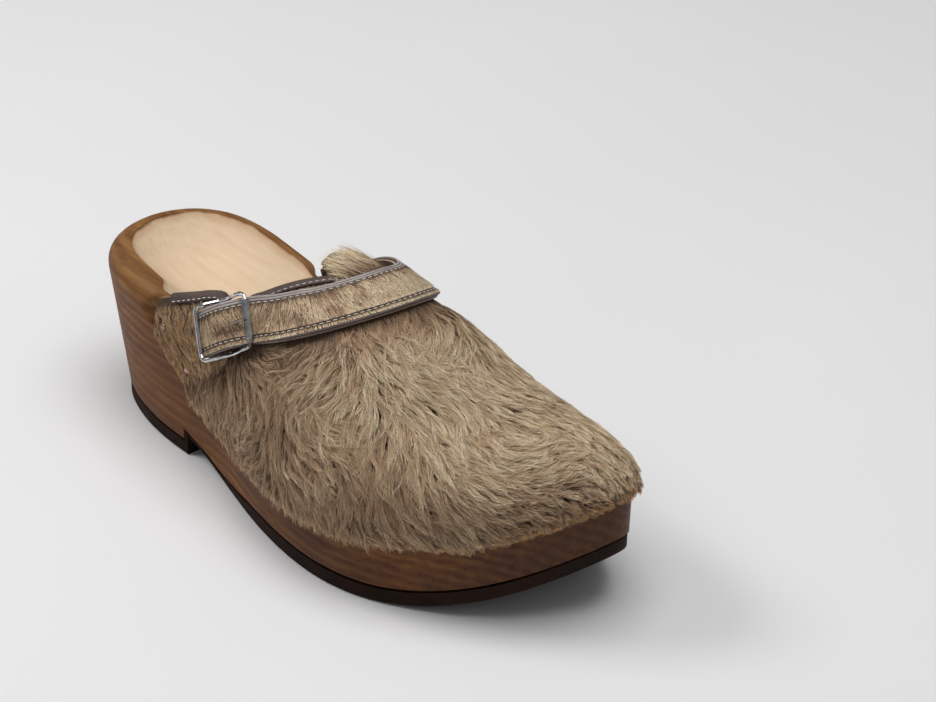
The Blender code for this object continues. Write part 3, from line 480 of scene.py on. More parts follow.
def band_shape(profiles):
    """Points and faces of a capped solid from one closed outline per station."""
    rows, count = len(profiles), len(profiles[0])
    points = [p for profile in profiles for p in profile]
    faces = grid_faces(rows, count, wrap_columns=True)
    faces += [tuple(range(count)), tuple(range((rows - 1) * count, rows * count))]
    return points, faces


def merge_shapes(shapes):
    """Points and faces of several shapes as one."""
    points, faces = [], []
    for more_points, more_faces in shapes:
        shift = len(points)
        points += list(more_points)
        faces += [tuple(i + shift for i in face) for face in more_faces]
    return points, faces


class Nodes:
    """Short calls for the nodes of one material."""

    def __init__(self, name):
        self.material = bpy.data.materials.new(name)
        self.material.use_nodes = True
        self.tree = self.material.node_tree
        self.shader = self.tree.nodes["Principled BSDF"]

    def add(self, kind, **settings):
        node = self.tree.nodes.new(kind)
        for key, value in settings.items():
            if key in node.inputs:
                node.inputs[key].default_value = value
            else:
                setattr(node, key, value)
        return node

    def link(self, output, target):
        self.tree.links.new(output, target)

    def place(self, scale=(1, 1, 1), shift=(0, 0, 0)):
        """Position on the object in metres, scaled along each axis."""
        where = self.add("ShaderNodeTexCoord")
        mapping = self.add("ShaderNodeMapping", Scale=scale, Location=shift)
        self.link(where.outputs["Object"], mapping.inputs["Vector"])
        return mapping.outputs["Vector"]

    def noise(self, vector, scale, detail=4.0, roughness=0.55):
        node = self.add("ShaderNodeTexNoise", Scale=scale, Detail=detail, Roughness=roughness)
        self.link(vector, node.inputs["Vector"])
        return node.outputs["Fac"]

    def ramp(self, value, stops):
        node = self.add("ShaderNodeValToRGB")
        elements = node.color_ramp.elements
        while len(elements) < len(stops):
            elements.new(0.5)
        for element, (at, colour) in zip(elements, stops):
            element.position = at
            element.color = (*colour, 1.0)
        self.link(value, node.inputs["Fac"])
        return node.outputs["Color"]

    def levels(self, value, low, high, to_low=0.0, to_high=1.0):
        node = self.add("ShaderNodeMapRange")
        self.link(value, node.inputs["Value"])
        for key, number in (("From Min", low), ("From Max", high), ("To Min", to_low), ("To Max", to_high)):
            node.inputs[key].default_value = number
        return node.outputs["Result"]

    def mix(self, share, a, b, mode="MIX"):
        node = self.add("ShaderNodeMix", data_type="RGBA", blend_type=mode)
        for socket, value in ((node.inputs["Factor"], share), (node.inputs[6], a), (node.inputs[7], b)):
            if isinstance(value, bpy.types.NodeSocket):
                self.link(value, socket)
            elif isinstance(value, tuple):
                socket.default_value = (*value, 1.0)
            else:
                socket.default_value = value
        return node.outputs[2]

    def math(self, operation, a, b=None):
        node = self.add("ShaderNodeMath", operation=operation)
        for socket, value in zip(node.inputs, (a, b)):
            if isinstance(value, bpy.types.NodeSocket):
                self.link(value, socket)
            elif value is not None:
                socket.default_value = value
        return node.outputs[0]

    def attribute(self, name):
        node = self.add("ShaderNodeAttribute", attribute_name=name)
        return node.outputs["Fac"]

    def bump(self, height, strength, distance):
        node = self.add("ShaderNodeBump", Strength=strength, Distance=distance)
        self.link(height, node.inputs["Height"])
        self.link(node.outputs["Normal"], self.shader.inputs["Normal"])

    def colour(self, output):
        self.link(output, self.shader.inputs["Base Color"])

    def roughness(self, output):
        self.link(output, self.shader.inputs["Roughness"])


def wood_material():
    """Stained brown wood outside, painted lighter at the top of the wall and partly painted darker at the
    toe; bare pale wood where the footbed attribute says so.
    """
    made = Nodes("clog_wood_look")
    warp = made.noise(made.place((1, 0.35, 1)), 16.0, 3.0)
    rings_place = made.place((1, 0.16, 1), (0.055, 0, 0.075))
    rings = made.add("ShaderNodeTexWave", wave_type="RINGS", rings_direction="Y", wave_profile="SIN")
    for key, number in (("Scale", 62.0), ("Distortion", 5.5), ("Detail", 3.0), ("Detail Scale", 0.9),
                        ("Detail Roughness", 0.6)):
        rings.inputs[key].default_value = number
    made.link(rings_place, rings.inputs["Vector"])
    ring = rings.outputs["Fac"]
    fibre = made.noise(made.place((1, 0.03, 1)), 1100.0, 3.0, 0.7)
    streak = made.noise(made.place((1, 0.045, 1)), 330.0, 5.0, 0.68)
    blotch = made.noise(made.place((1, 0.6, 1)), 22.0, 3.0)

    grain = made.math("ADD", made.math("MULTIPLY", ring, 0.16), made.math("MULTIPLY", streak, 0.84))
    stained = made.ramp(grain, [(0.3, (0.078, 0.029, 0.010)), (0.5, (0.148, 0.059, 0.019)),
                                (0.7, (0.225, 0.103, 0.034))])
    patches = made.ramp(blotch, [(0.34, (0.60, 0.54, 0.55)), (0.6, (1.25, 1.14, 0.85))])
    stained = made.mix(1.0, stained, patches, "MULTIPLY")
    split = made.add("ShaderNodeSeparateXYZ")
    made.link(made.place(), split.inputs["Vector"])
    # Painted light: the wood is painted lighter and more orange towards the top of the wall, by height, where
    # light from above falls.
    top = made.levels(split.outputs["Z"], 0.055, 0.083)
    lit_rim_colour = made.mix(made.levels(grain, 0.34, 0.64), (0.190, 0.082, 0.024), (0.330, 0.175, 0.062))
    stained = made.mix(made.math("MULTIPLY", top, 0.75), stained, lit_rim_colour)
    # Darker towards the toe: partly the wood's own stain, partly painted shade.
    toe = made.levels(split.outputs["Y"], -0.135, -0.06, 0.55, 0.0)
    stained = made.mix(toe, stained, (0.040, 0.018, 0.011))

    bare_grain = made.math("ADD", made.math("MULTIPLY", ring, 0.1), made.math("MULTIPLY", streak, 0.9))
    bare = made.ramp(bare_grain, [(0.2, (0.650, 0.470, 0.310)), (0.5, (0.715, 0.545, 0.372)),
                                  (0.8, (0.765, 0.605, 0.430))])
    edge_noise = made.math("MULTIPLY", made.math("SUBTRACT", made.noise(made.place(), 85.0, 3.0), 0.5), 3.2)
    inset = made.math("ADD", made.attribute("bare_inset"), edge_noise)
    bare_share = made.levels(inset, -0.35, 0.65)
    stain_creep = made.levels(inset, 0.3, 3.2, 0.45, 0.0)
    bare = made.mix(stain_creep, bare, (0.413, 0.187, 0.068))
    made.colour(made.mix(bare_share, stained, bare))
    made.roughness(made.levels(fibre, 0.2, 0.8, 0.45, 0.68))
    made.shader.inputs["Specular IOR Level"].default_value = 0.2
    made.bump(made.math("ADD", fibre, made.math("MULTIPLY", streak, 0.6)), 0.22, 0.0004)
    return made.material


def rubber_material():
    """Dark brown matt rubber with a fine grit."""
    made = Nodes("outsole_rubber_look")
    cloud = made.noise(made.place(), 60.0, 4.0)
    grit = made.noise(made.place(), 1800.0, 2.0)
    made.colour(made.ramp(cloud, [(0.3, (0.010, 0.004, 0.002)), (0.7, (0.026, 0.011, 0.006))]))
    made.roughness(made.levels(grit, 0.2, 0.8, 0.7, 0.92))
    made.shader.inputs["Specular IOR Level"].default_value = 0.15
    made.bump(grit, 0.25, 0.0003)
    return made.material


def leather_material(name, dark, light, roughness, grain=1500.0, bump=0.35):
    """Leather with cloudy colour, fine creases and pores."""
    made = Nodes(name)
    cloud = made.noise(made.place(), 90.0, 4.0)
    cells = made.add("ShaderNodeTexVoronoi", Scale=grain, feature="F1")
    made.link(made.place(), cells.inputs["Vector"])
    fine = made.noise(made.place(), grain * 1.6, 3.0)
    shade = made.math("ADD", made.math("MULTIPLY", cloud, 0.7), made.math("MULTIPLY", fine, 0.3))
    made.colour(made.ramp(shade, [(0.3, dark), (0.68, light)]))
    made.roughness(made.levels(fine, 0.2, 0.8, roughness - 0.1, roughness + 0.12))
    made.bump(made.math("ADD", cells.outputs["Distance"], fine), bump, 0.0003)
    return made.material


def hide_material(name, dark, light):
    """Packed hair base under the long hair."""
    made = Nodes(name)
    lie = made.noise(made.place((1, 0.3, 0.5)), 700.0, 4.0, 0.7)
    cloud = made.noise(made.place(), 70.0, 3.0)
    shade = made.math("ADD", made.math("MULTIPLY", lie, 0.6), made.math("MULTIPLY", cloud, 0.4))
    made.colour(made.ramp(shade, [(0.3, dark), (0.7, light)]))
    made.roughness(made.levels(lie, 0.2, 0.8, 0.8, 0.95))
    made.bump(lie, 0.7, 0.0008)
    return made.material


def metal_material(name, dark, light, low, high):
    """Plated or bare metal with dull clouds and fine scratches."""
    made = Nodes(name)
    cloud = made.noise(made.place(), 260.0, 4.0)
    scratch = made.noise(made.place((1, 0.2, 1)), 2600.0, 3.0)
    made.colour(made.ramp(cloud, [(0.35, dark), (0.65, light)]))
    made.roughness(made.levels(scratch, 0.25, 0.75, low, high))
    made.bump(scratch, 0.08, 0.0001)
    made.shader.inputs["Metallic"].default_value = 1.0
    return made.material


def thread_material():
    """Pale twisted thread."""
    made = Nodes("thread_look")
    twist = made.noise(made.place((1, 1, 1)), 2400.0, 3.0)
    made.colour(made.ramp(twist, [(0.3, (0.52, 0.48, 0.45)), (0.7, (0.82, 0.79, 0.76))]))
    made.roughness(made.levels(twist, 0.2, 0.8, 0.65, 0.9))
    made.bump(twist, 0.4, 0.0002)
    return made.material


def hair_materials():
    """One plain finish per shade. The shades change along each hair, from its root to its tip."""
    found = []
    for name, rgb in HAIR_SHADES.items():
        made = Nodes(name)
        made.shader.inputs["Base Color"].default_value = (*rgb, 1.0)
        made.shader.inputs["Roughness"].default_value = 0.55
        made.shader.inputs["Specular IOR Level"].default_value = 0.35
        found.append(made.material)
    return found


# ---------------------------------------------------------------- sole

def dense_sole_columns():
    """Close-spaced slices round the sole, with extra ones where the heel's breast is."""
    breast = [BREAST_Y + 0.2, BREAST_Y, BREAST_Y - 0.3, BREAST_Y - 0.5]
    breast += [BREAST_Y - BREAST_RUBBER + 0.1, BREAST_Y - BREAST_RUBBER - 0.1]
    steps = np.arange(HEEL_CENTRE_Y, TOE_CENTRE_Y - 0.5, -2.0)
    plain = [y for y in steps if min(abs(y - b) for b in breast) > 1.0]
    stations = sorted(plain + breast, reverse=True)
    outer = [side_column(y, -1.0) for y in stations]
    inner = [side_column(y, 1.0) for y in reversed(stations)]
    toe = fan_columns(TOE_CENTRE_Y, 180, 360, 70)
    heel = fan_columns(HEEL_CENTRE_Y, 0, 180, 60)
    return outer + toe + inner + heel


def sole_profile(column):
    """Points of one slice of the wooden sole with how far each lies inside the stained rim, in mm."""
    y = column.y
    bottom, ledge, crest = wood_bottom(y), ledge_z(y), crest_z(y)
    start = np.interp(column.side, (-1.0, 1.0), (REBATE_START_OUTER, REBATE_START_INNER))
    rebated = 1 - smoothstep(start - REBATE_BLEND, start + REBATE_BLEND, y)
    heel_wide = SHOULDER_HEEL[0] - SHOULDER_SIDE_CHANGE * column.side
    wide = SHOULDER_FRONT[0] + (heel_wide - SHOULDER_FRONT[0]) * (1 - rebated)
    tall = SHOULDER_FRONT[1] + (SHOULDER_HEEL[1] - SHOULDER_FRONT[1]) * (1 - rebated)
    found = []
    for fraction in (0.0, 0.4, 0.75):
        place = column.share(fraction)
        found.append((np.array([*place, wood_bottom(place[1])]), -20.0))
    found.append((column.at(1.2, bottom), -20.0))
    side_top = min(ledge, crest - tall)
    for step in np.linspace(0.0, 1.0, 12):
        z = bottom + 1.0 + (side_top - 0.8 - bottom - 1.0) * step
        found.append((column.at(-flare(y, z), z), -20.0))
    base = -flare(y, side_top)
    found.append((column.at(base + 0.8 * rebated, side_top), -15.0))
    wall = base + REBATE * rebated
    found.append((column.at(wall, side_top + 0.05 + 0.4 * (1 - rebated)), -15.0))
    shoulder_z = crest - tall
    lean = curve_value(WALL_LEAN, y) * rebated
    wall_top = wall + max(shoulder_z - side_top, 0.0) * lean
    shoulder_z = max(shoulder_z, side_top + 1.0)
    for angle in np.radians(np.linspace(0, 90, 11)):
        inset = wide * (1 - math.cos(angle))
        z = shoulder_z + (crest - shoulder_z) * math.sin(angle)
        found.append((column.at(wall_top + inset, z), inset - wide - 0.6))
    inner = wall_top + wide
    found.append((column.at(inner + 0.3, crest - STEP_DROP * 0.6), -0.3))
    found.append((column.at(inner + 0.6, crest - STEP_DROP), 0.3))
    dish_edge = (column.reach - inner - 0.6) / column.reach
    for part in (0.985, 0.96, 0.93, 0.88, 0.8, 0.7, 0.6, 0.48, 0.35, 0.2, 0.0):
        place = column.share(dish_edge * part)
        low = footbed_z(place[1])
        rise = (crest - STEP_DROP - low) * part**DISH_POWER
        found.append((np.array([*place, low + rise]), column.reach * dish_edge * (1 - part) + 0.3))
    return found


def smooth_sole(finish):
    """The carved wooden sole with soft shoulders, in place of the plain CAD one."""
    profiles = [sole_profile(c) for c in dense_sole_columns()]
    points = [p for profile in profiles for p, _ in profile]
    insets = [inset for profile in profiles for _, inset in profile]
    faces = grid_faces(len(profiles), len(profiles[0]), wrap_rows=True)
    made = add_piece("sole_wood", points, faces, [finish], smooth=50.0, tidy=False)
    attribute = made.data.attributes.new("bare_inset", "FLOAT", "POINT")
    attribute.data.foreach_set("value", np.array(insets, np.float32))
    face_outwards(made.data)
    made.data.shade_smooth()
    made.data.set_sharp_from_angle(angle=math.radians(50))
    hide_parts("wooden_sole")


def smooth_outsole(finish):
    """The rubber layer with softly rounded edges, in place of the plain CAD one."""
    profiles = []
    for column in dense_sole_columns():
        y = column.y
        points = [np.array([*column.share(f), rubber_top(column.share(f)[1])]) for f in (0.0, 0.4, 0.75)]
        points.append(column.at(1.2, rubber_top(y)))
        points.append(column.at(0.0, rubber_top(y) - 0.2))
        points.append(column.at(0.1, rubber_bottom(y) + 1.2))
        points.append(column.at(0.4, rubber_bottom(y) + 0.4))
        points.append(column.at(1.0, rubber_bottom(y)))
        points += [np.array([*column.share(f), rubber_bottom(column.share(f)[1])]) for f in (0.75, 0.4, 0.0)]
        profiles.append(points)
    points = [p for profile in profiles for p in profile]
    faces = grid_faces(len(profiles), len(profiles[0]), wrap_rows=True)
    made = add_piece("sole_rubber", points, faces, [finish])
    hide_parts("rubber_outsole")


# ---------------------------------------------------------------- stitches

def stitch_shapes(places, ups, length=2.7, gap=1.1, radius=0.27):
    """Small rounded stitches along a path of points, lying on it."""
    places = np.array(places)
    ups = np.array(ups)
    steps = np.linalg.norm(np.diff(places, axis=0), axis=1)
    travel = np.concatenate([[0.0], np.cumsum(steps)])
    count = int(travel[-1] // (length + gap))
    pitch = travel[-1] / count
    shapes = []
    for number in range(count):
        start = number * pitch + gap / 2
        ats = start + (pitch - gap) * np.linspace(0.0, 1.0, 5)
        line = np.stack([np.interp(ats, travel, places[:, k]) for k in range(3)], axis=1)
        up = np.array([np.interp(ats[2], travel, ups[:, k]) for k in range(3)])
        up /= np.linalg.norm(up)
        along = line[-1] - line[0]
        along /= np.linalg.norm(along)
        across = np.cross(up, along)
        points = []
        for place, share in zip(line, (0.3, 0.85, 1.0, 0.85, 0.3)):
            for k in range(6):
                angle = 2 * math.pi * k / 6
                turned = across * math.cos(angle) + up * math.sin(angle) * 0.8
                points.append(place + turned * radius * share)
        faces = grid_faces(5, 6, wrap_columns=True) + [tuple(range(6)), tuple(range(24, 30))]
        shapes.append((points, faces))
    return shapes


# ---------------------------------------------------------------- upper

def fullness(column):
    """How square the upper's cross-section is there: 2 is an ellipse."""
    outer = curve_value(FULLNESS_OUTER, column.core[1])
    inner = curve_value(FULLNESS_INNER, column.core[1])
    share = (column.side + 1) / 2
    return outer + (inner - outer) * share


def dome_point(column, angle, depth=0.0):
    """A point of the upper, `depth` inside its outer face; angle is 0 at the base, pi/2 on the crown."""
    y = column.y
    base = ledge_z(y) + HIDE_ABOVE_LEDGE
    height = curve_value(CROWN, column.core[1]) - base - depth
    reach = column.reach + flare(y, base) + HIDE_PROUD - depth
    power = 2 / fullness(column)
    place = column.core + column.out * reach * math.cos(angle) ** power
    return np.array([*place, base + height * math.sin(angle) ** power])


def point_on_upper(arc, y):
    """A point of the outer face; arc is -1 at the outer base, 0 on the crown, 1 at the inner base."""
    column = side_column(y, -1.0 if arc < 0 else 1.0)
    return dome_point(column, (1 - abs(arc)) * math.pi / 2)


def normal_on_upper(arc, y):
    across = point_on_upper(arc + 0.02, y) - point_on_upper(arc - 0.02, y)
    back = point_on_upper(arc, y + 1.0) - point_on_upper(arc, y - 1.0)
    normal = np.cross(across, back)
    return normal / np.linalg.norm(normal)


def angle_at_height(column, z):
    """The angle at which the upper's outer face reaches height z."""
    low, high = 0.0, math.pi / 2
    for _ in range(40):
        middle = (low + high) / 2
        if dome_point(column, middle)[2] < z:
            low = middle
        else:
            high = middle
    return (low + high) / 2


def angle_at_share(column, share):
    """The angle at which the upper has come in to this share of its reach."""
    return math.acos(share ** (fullness(column) / 2))


def topline_columns(topline, side, throat_y):
    """(column, top angle) pairs along one side's free edge, up to where it meets the spine."""
    rows = []
    for y, z in topline:
        column = side_column(y, side)
        rows.append((column, angle_at_height(column, z)))
    corner, corner_top = rows[-1]
    corner_share = math.cos(corner_top) ** (2 / fullness(corner))
    for step in range(1, TONGUE_STEPS):
        t = step / TONGUE_STEPS
        column = side_column(corner.y + (throat_y - corner.y) * t, side)
        rows.append((column, angle_at_share(column, corner_share * (1 - t))))
    return rows


def body_depth(angle):
    """Thickness of the hide with its pile, away from the free edge."""
    return HIDE_BASE + (HIDE_BODY - HIDE_BASE) * smoothstep(0.0, BODY_ANGLE, angle)


def free_edge():
    """Close-spaced points along the whole free edge of the upper."""
    outer = topline_columns(TOPLINE_OUTER, -1.0, THROAT_Y)
    inner = topline_columns(TOPLINE_INNER, 1.0, THROAT_Y)
    throat = [(side_column(THROAT_Y, -1.0), math.pi / 2)]
    corners = [dome_point(c, top) for c, top in outer + throat + inner[::-1]]
    found = []
    for a, b in zip(corners, corners[1:]):
        found += [a + (b - a) * t for t in (0.0, 0.25, 0.5, 0.75)]
    return np.array(found)


def drawn_in(column, angle):
    """How far the outer face steps in near the free edge, where the pile is trimmed."""
    distance = np.linalg.norm(FREE_EDGE - dome_point(column, angle), axis=1).min()
    return (body_depth(angle) - HIDE_EDGE) * (1 - smoothstep(THIN_TO, THIN_FROM, distance))


FREE_EDGE = free_edge()


# ---------------------------------------------------------------- edges of the hide

class EdgePoint:
    """A place on the free edge of the hide, with the directions out of the face and into the hide."""

    def __init__(self, column, top):
        self.face = dome_point(column, top, drawn_in(column, top))
        self.normal = normal_on_upper(column.side * (1 - top / (math.pi / 2)), column.y)
        below = dome_point(column, top - 0.05, drawn_in(column, top))
        self.below = below - self.face
        self.into = None


def edge_points(rows):
    """The places of these (column, top angle) rows, with the way into the hide from each."""
    found = [EdgePoint(c, top) for c, top in rows]
    for i, point in enumerate(found):
        before, after = found[max(i - 1, 0)], found[min(i + 1, len(found) - 1)]
        along = after.face - before.face
        into = np.cross(point.normal, along)
        into /= np.linalg.norm(into)
        if into @ point.below < 0:
            into = -into
        point.into = into
    return found


def dense_edge(points, extra=4):
    """More edge points between the given ones, on smooth curves."""
    faces = np.array([p.face for p in points])
    normals = np.array([p.normal for p in points])
    intos = np.array([p.into for p in points])
    steps = np.linalg.norm(np.diff(faces, axis=0), axis=1)
    travel = np.concatenate([[0.0], np.cumsum(steps)])
    wanted = np.linspace(0.0, travel[-1], (len(points) - 1) * extra + 1)
    found = []
    for at in wanted:
        values = []
        for rows in (faces, normals, intos):
            values.append(np.array([curve_value(list(zip(travel, rows[:, k])), at) for k in range(3)]))
        face, normal, into = values
        found.append((face, normal / np.linalg.norm(normal), into / np.linalg.norm(into)))
    return found


def rounded_section(face, normal, into):
    """A folded leather strip over the edge, with a soft fold."""
    gap, ply, leg, inner_leg = BINDING_GAP, BINDING_LEATHER, BINDING_LEG, BINDING_INNER_LEG
    back = -HIDE_EDGE - gap
    flat = [(leg, gap), (leg, gap + ply * 0.75), (leg - 0.25, gap + ply), (leg * 0.5, gap + ply * 1.08)]
    middle = (gap + back) / 2
    half = (gap - back) / 2 + ply
    for angle in np.radians(np.linspace(75, -75, 7)):
        flat.append((-gap - ply * math.cos(angle) * 1.05, middle + half * math.sin(angle)))
    flat += [(inner_leg, back - ply), (inner_leg, back), (-gap, back), (-gap, gap)]
    return [face + into * b + normal * n for b, n in flat]


def edge_strip(name, node, rows, finish, thread):
    """Bound edge with its row of stitches, in place of the plain CAD strip."""
    line = dense_edge(edge_points(rows))
    points, faces = band_shape([rounded_section(*place) for place in line])
    made = add_piece(f"{name}_edge", points, faces, [finish], smooth=55.0)
    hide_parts(node)
    out = BINDING_GAP + BINDING_LEATHER + 0.12
    seat = [face + into * 1.9 + normal * out for face, normal, into in line]
    points, faces = merge_shapes(stitch_shapes(seat, [n for _, n, _ in line], 1.9, 0.9, 0.24))
    add_piece(f"{name}_stitches", points, faces, [thread])


def bound_edges(finish, thread):
    """The three bound edges, with a row of stitches each."""
    notch = NOTCH_POINT
    tabs, fronts = [], []
    for side, line in ((-1.0, TOPLINE_OUTER), (1.0, TOPLINE_INNER)):
        tabs.append(topline_columns(line[:notch], side, THROAT_Y)[1:notch])
        fronts.append(topline_columns(line[notch + 1:], side, THROAT_Y))
    throat = [(side_column(THROAT_Y, -1.0), math.pi / 2)]
    edge_strip("outer_tab", "outer_tab_binding", tabs[0], finish, thread)
    edge_strip("inner_tab", "inner_tab_binding", tabs[1], finish, thread)
    edge_strip("tongue", "tongue_binding", fronts[0] + throat + fronts[1][::-1], finish, thread)


# ---------------------------------------------------------------- strap and buckle

class BuckleFrame:
    """Directions of the buckle: forward along the strap, across it, and out of the upper."""

    def __init__(self):
        front, rear = point_on_upper(*BUCKLE_FRONT), point_on_upper(*BUCKLE_REAR)
        forward = front - rear
        self.forward = forward / np.linalg.norm(forward)
        out = normal_on_upper(*BUCKLE_FRONT) + normal_on_upper(*BUCKLE_REAR)
        out -= self.forward * (out @ self.forward)
        self.out = out / np.linalg.norm(out)
        self.across = np.cross(self.out, self.forward)
        middle = point_on_upper(*(np.array(BUCKLE_FRONT) + BUCKLE_REAR) / 2)
        self.centre = (front + rear) / 2
        self.centre = self.centre + self.out * ((middle - self.centre) @ self.out)

    def at(self, forward, lift, across=0.0):
        return self.centre + self.forward * forward + self.out * lift + self.across * across


BUCKLE = BuckleFrame()


def strap_knots():
    """(point, normal) pairs along the underside of the strap, from its tip to its inner end."""
    knots = [(BUCKLE.at(u, lift), BUCKLE.out) for u, lift in STRAP_UNDER]
    for arc, y in STRAP_ROUTE:
        normal = normal_on_upper(arc, y)
        knots.append((point_on_upper(arc, y) + normal * STRAP_LIFT, normal))
    return knots


def eased(values):
    """The same run of values with its kinks smoothed out."""
    values = np.array(values)
    for _ in range(STRAP_EASING):
        values[1:-1] = (values[:-2] + 2 * values[1:-1] + values[2:]) / 4
    return values


def strap_path():
    """Evenly spaced (point, normal, across) places along the underside of the strap."""
    knots = strap_knots()
    gaps = [np.linalg.norm(b[0] - a[0]) for a, b in zip(knots, knots[1:])]
    travel = np.concatenate([[0.0], np.cumsum(gaps)])
    wanted = np.linspace(0.0, travel[-1], STRAP_STEPS + 1)

    def value(kind, at):
        return np.array([curve_value([(t, k[kind][i]) for t, k in zip(travel, knots)], at) for i in range(3)])

    points = eased([value(0, w) for w in wanted])
    normals = eased([value(1, w) for w in wanted])
    places = []
    for i, (point, normal) in enumerate(zip(points, normals)):
        along = points[min(i + 1, STRAP_STEPS)] - points[max(i - 1, 0)]
        across = np.cross(normal, along)
        across /= np.linalg.norm(across)
        square = np.cross(along, across)
        places.append((point, square / np.linalg.norm(square), across))
    return places, wanted


def half_width_at(travel, total):
    """Half width of the strap: narrower at the buckle, rounded off at its tip and inner end."""
    widen = smoothstep(*STRAP_TAPER, travel)
    half = (STRAP_WIDTH_AT_BUCKLE + (STRAP_WIDTH - STRAP_WIDTH_AT_BUCKLE) * widen) / 2
    nearest = min(travel, total - travel)
    if nearest >= TIP_LENGTH:
        return half
    t = 1 - nearest / TIP_LENGTH
    return half * math.sqrt(max(1 - t * t, 0.02))


def dense_strap(extra=4):
    """Close-spaced (point, normal, across, travel) places along the underside of the strap."""
    places, travel = strap_path()
    points = np.array([p for p, _, _ in places])
    normals = np.array([n for _, n, _ in places])
    wanted = np.linspace(0.0, travel[-1], STRAP_STEPS * extra + 1)
    lines = []
    for rows in (points, normals):
        lines.append(np.stack([curve_value(list(zip(travel, rows[:, k])), wanted) for k in range(3)], axis=1))
    found = []
    last = len(wanted) - 1
    for i, at in enumerate(wanted):
        along = lines[0][min(i + 1, last)] - lines[0][max(i - 1, 0)]
        across = np.cross(lines[1][i], along)
        across /= np.linalg.norm(across)
        normal = np.cross(along, across)
        found.append((lines[0][i], normal / np.linalg.norm(normal), across, at))
    return found, travel[-1]


def strap_band(places, total, low, high, inset=0.0, round_off=0.3):
    """A flat band with softly rounded edges between two heights above the strap's underside."""
    profiles = []
    for point, normal, across, at in places:
        half = half_width_at(at, total) - inset
        near = round_off * 0.4
        top = [(-half, high - round_off), (-half + near, high - near), (-half + round_off, high)]
        flat = [(half * s, high) for s in (-0.6, -0.2, 0.2, 0.6)]
        over = top + flat + [(-b, n) for b, n in top[::-1]]
        under = [(half, low), (half * 0.4, low), (-half * 0.4, low), (-half, low)]
        profiles.append([point + across * b + normal * n for b, n in over + under])
    return band_shape(profiles)


def slot_in(made):
    """Cuts the long hole for the prong, and keeps the result as plain mesh."""
    outline = []
    for k in range(16):
        angle = 2 * math.pi * (k + 0.5) / 16
        reach = SLOT_HALF_LENGTH - SLOT_RADIUS
        forward = SLOT_CENTRE + math.copysign(reach, math.cos(angle)) + SLOT_RADIUS * math.cos(angle)
        outline.append((forward, SLOT_RADIUS * math.sin(angle)))
    rows = [[BUCKLE.at(f, lift, a) for f, a in outline] for lift in (-1.0, 14.0)]
    count = len(outline)
    faces = grid_faces(2, count, wrap_columns=True) + [tuple(range(count)), tuple(range(count, 2 * count))]
    mesh = bpy.data.meshes.new("slot_shape")
    mesh.from_pydata(placed(rows[0] + rows[1]), [], faces)
    face_outwards(mesh)
    cutter = bpy.data.objects.new("slot_shape", mesh)
    bpy.context.scene.collection.objects.link(cutter)
    boolean = made.modifiers.new("slot", "BOOLEAN")
    boolean.operation = "DIFFERENCE"
    boolean.object = cutter
    graph = bpy.context.evaluated_depsgraph_get()
    cut = bpy.data.meshes.new_from_object(made.evaluated_get(graph))
    made.modifiers.clear()
    made.data = cut
    bpy.data.objects.remove(cutter, do_unlink=True)


def strap_ridge(places, total, inset, radius, height, start, stop):
    """A thin folded leather edge that runs along the strap."""
    profiles = []
    for point, normal, across, at in places:
        if not start <= at <= stop:
            continue
        half = half_width_at(at, total)
        middle = point + across * math.copysign(half - abs(inset), inset) + normal * height
        ring = []
        for k in range(8):
            angle = 2 * math.pi * k / 8
            ring.append(middle + (across * math.cos(angle) + normal * math.sin(angle) * 0.75) * radius)
        profiles.append(ring)
    return band_shape(profiles)


def strap_pieces(looks):
    """The strap's two plies, its folded edges and its stitches. Gives its places, length and height."""
    places, total = dense_strap()
    low = STRAP_LINING + STRAP_PLY_GAP
    high = low + STRAP_HIDE
    points, faces = strap_band(places, total, 0.0, STRAP_LINING, 0.15, 0.2)
    lining = add_piece("strap_underside", points, faces, [looks["strap_lining"]])
    slot_in(lining)
    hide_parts("strap_lining")
    points, faces = strap_band(places, total, low, high, 0.25)
    band = add_piece("strap_band", points, faces, [looks["strap_base"]])
    slot_in(band)
    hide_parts("instep_strap")

    outer_ridge = strap_ridge(places, total, 0.55, 0.62, high - 0.35, 0.0, total)
    inner_ridge = strap_ridge(places, total, 1.75, 0.55, high - 0.1, 1.5, total - 1.5)
    points, faces = merge_shapes([outer_ridge, inner_ridge])
    add_piece("strap_upper_edge", points, faces, [looks["strap_edge"]])
    points, faces = strap_ridge(places, total, -0.5, 0.6, high - 0.4, 0.0, total)
    add_piece("strap_lower_edge", points, faces, [looks["strap_edge_dark"]])

    for name, inset in (("upper", 2.95), ("lower", -3.1)):
        line, ups = [], []
        for point, normal, across, at in places:
            if not 3.5 <= at <= total - 4.0:
                continue
            half = half_width_at(at, total)
            line.append(point + across * math.copysign(half - abs(inset), inset) + normal * (high + 0.28))
            ups.append(normal)
        points, faces = merge_shapes(stitch_shapes(line, ups, 2.0, 0.95, 0.26))
        add_piece(f"strap_stitches_{name}", points, faces, [looks["thread"]])
    return places, total, high


# ---------------------------------------------------------------- hair


class Noise:
    """Smooth repeatable noise made of a few plane waves, about -1 to 1."""

    def __init__(self, rng, wavelength, waves=10):
        directions = rng.normal(size=(waves, 3))
        directions /= np.linalg.norm(directions, axis=1)[:, None]
        self.waves = directions * (2 * math.pi / (wavelength * rng.uniform(0.7, 1.5, waves)[:, None]))
        self.phases = rng.uniform(0, 2 * math.pi, waves)

    def at(self, points):
        return np.sin(points @ self.waves.T + self.phases).mean(axis=1) * 1.9


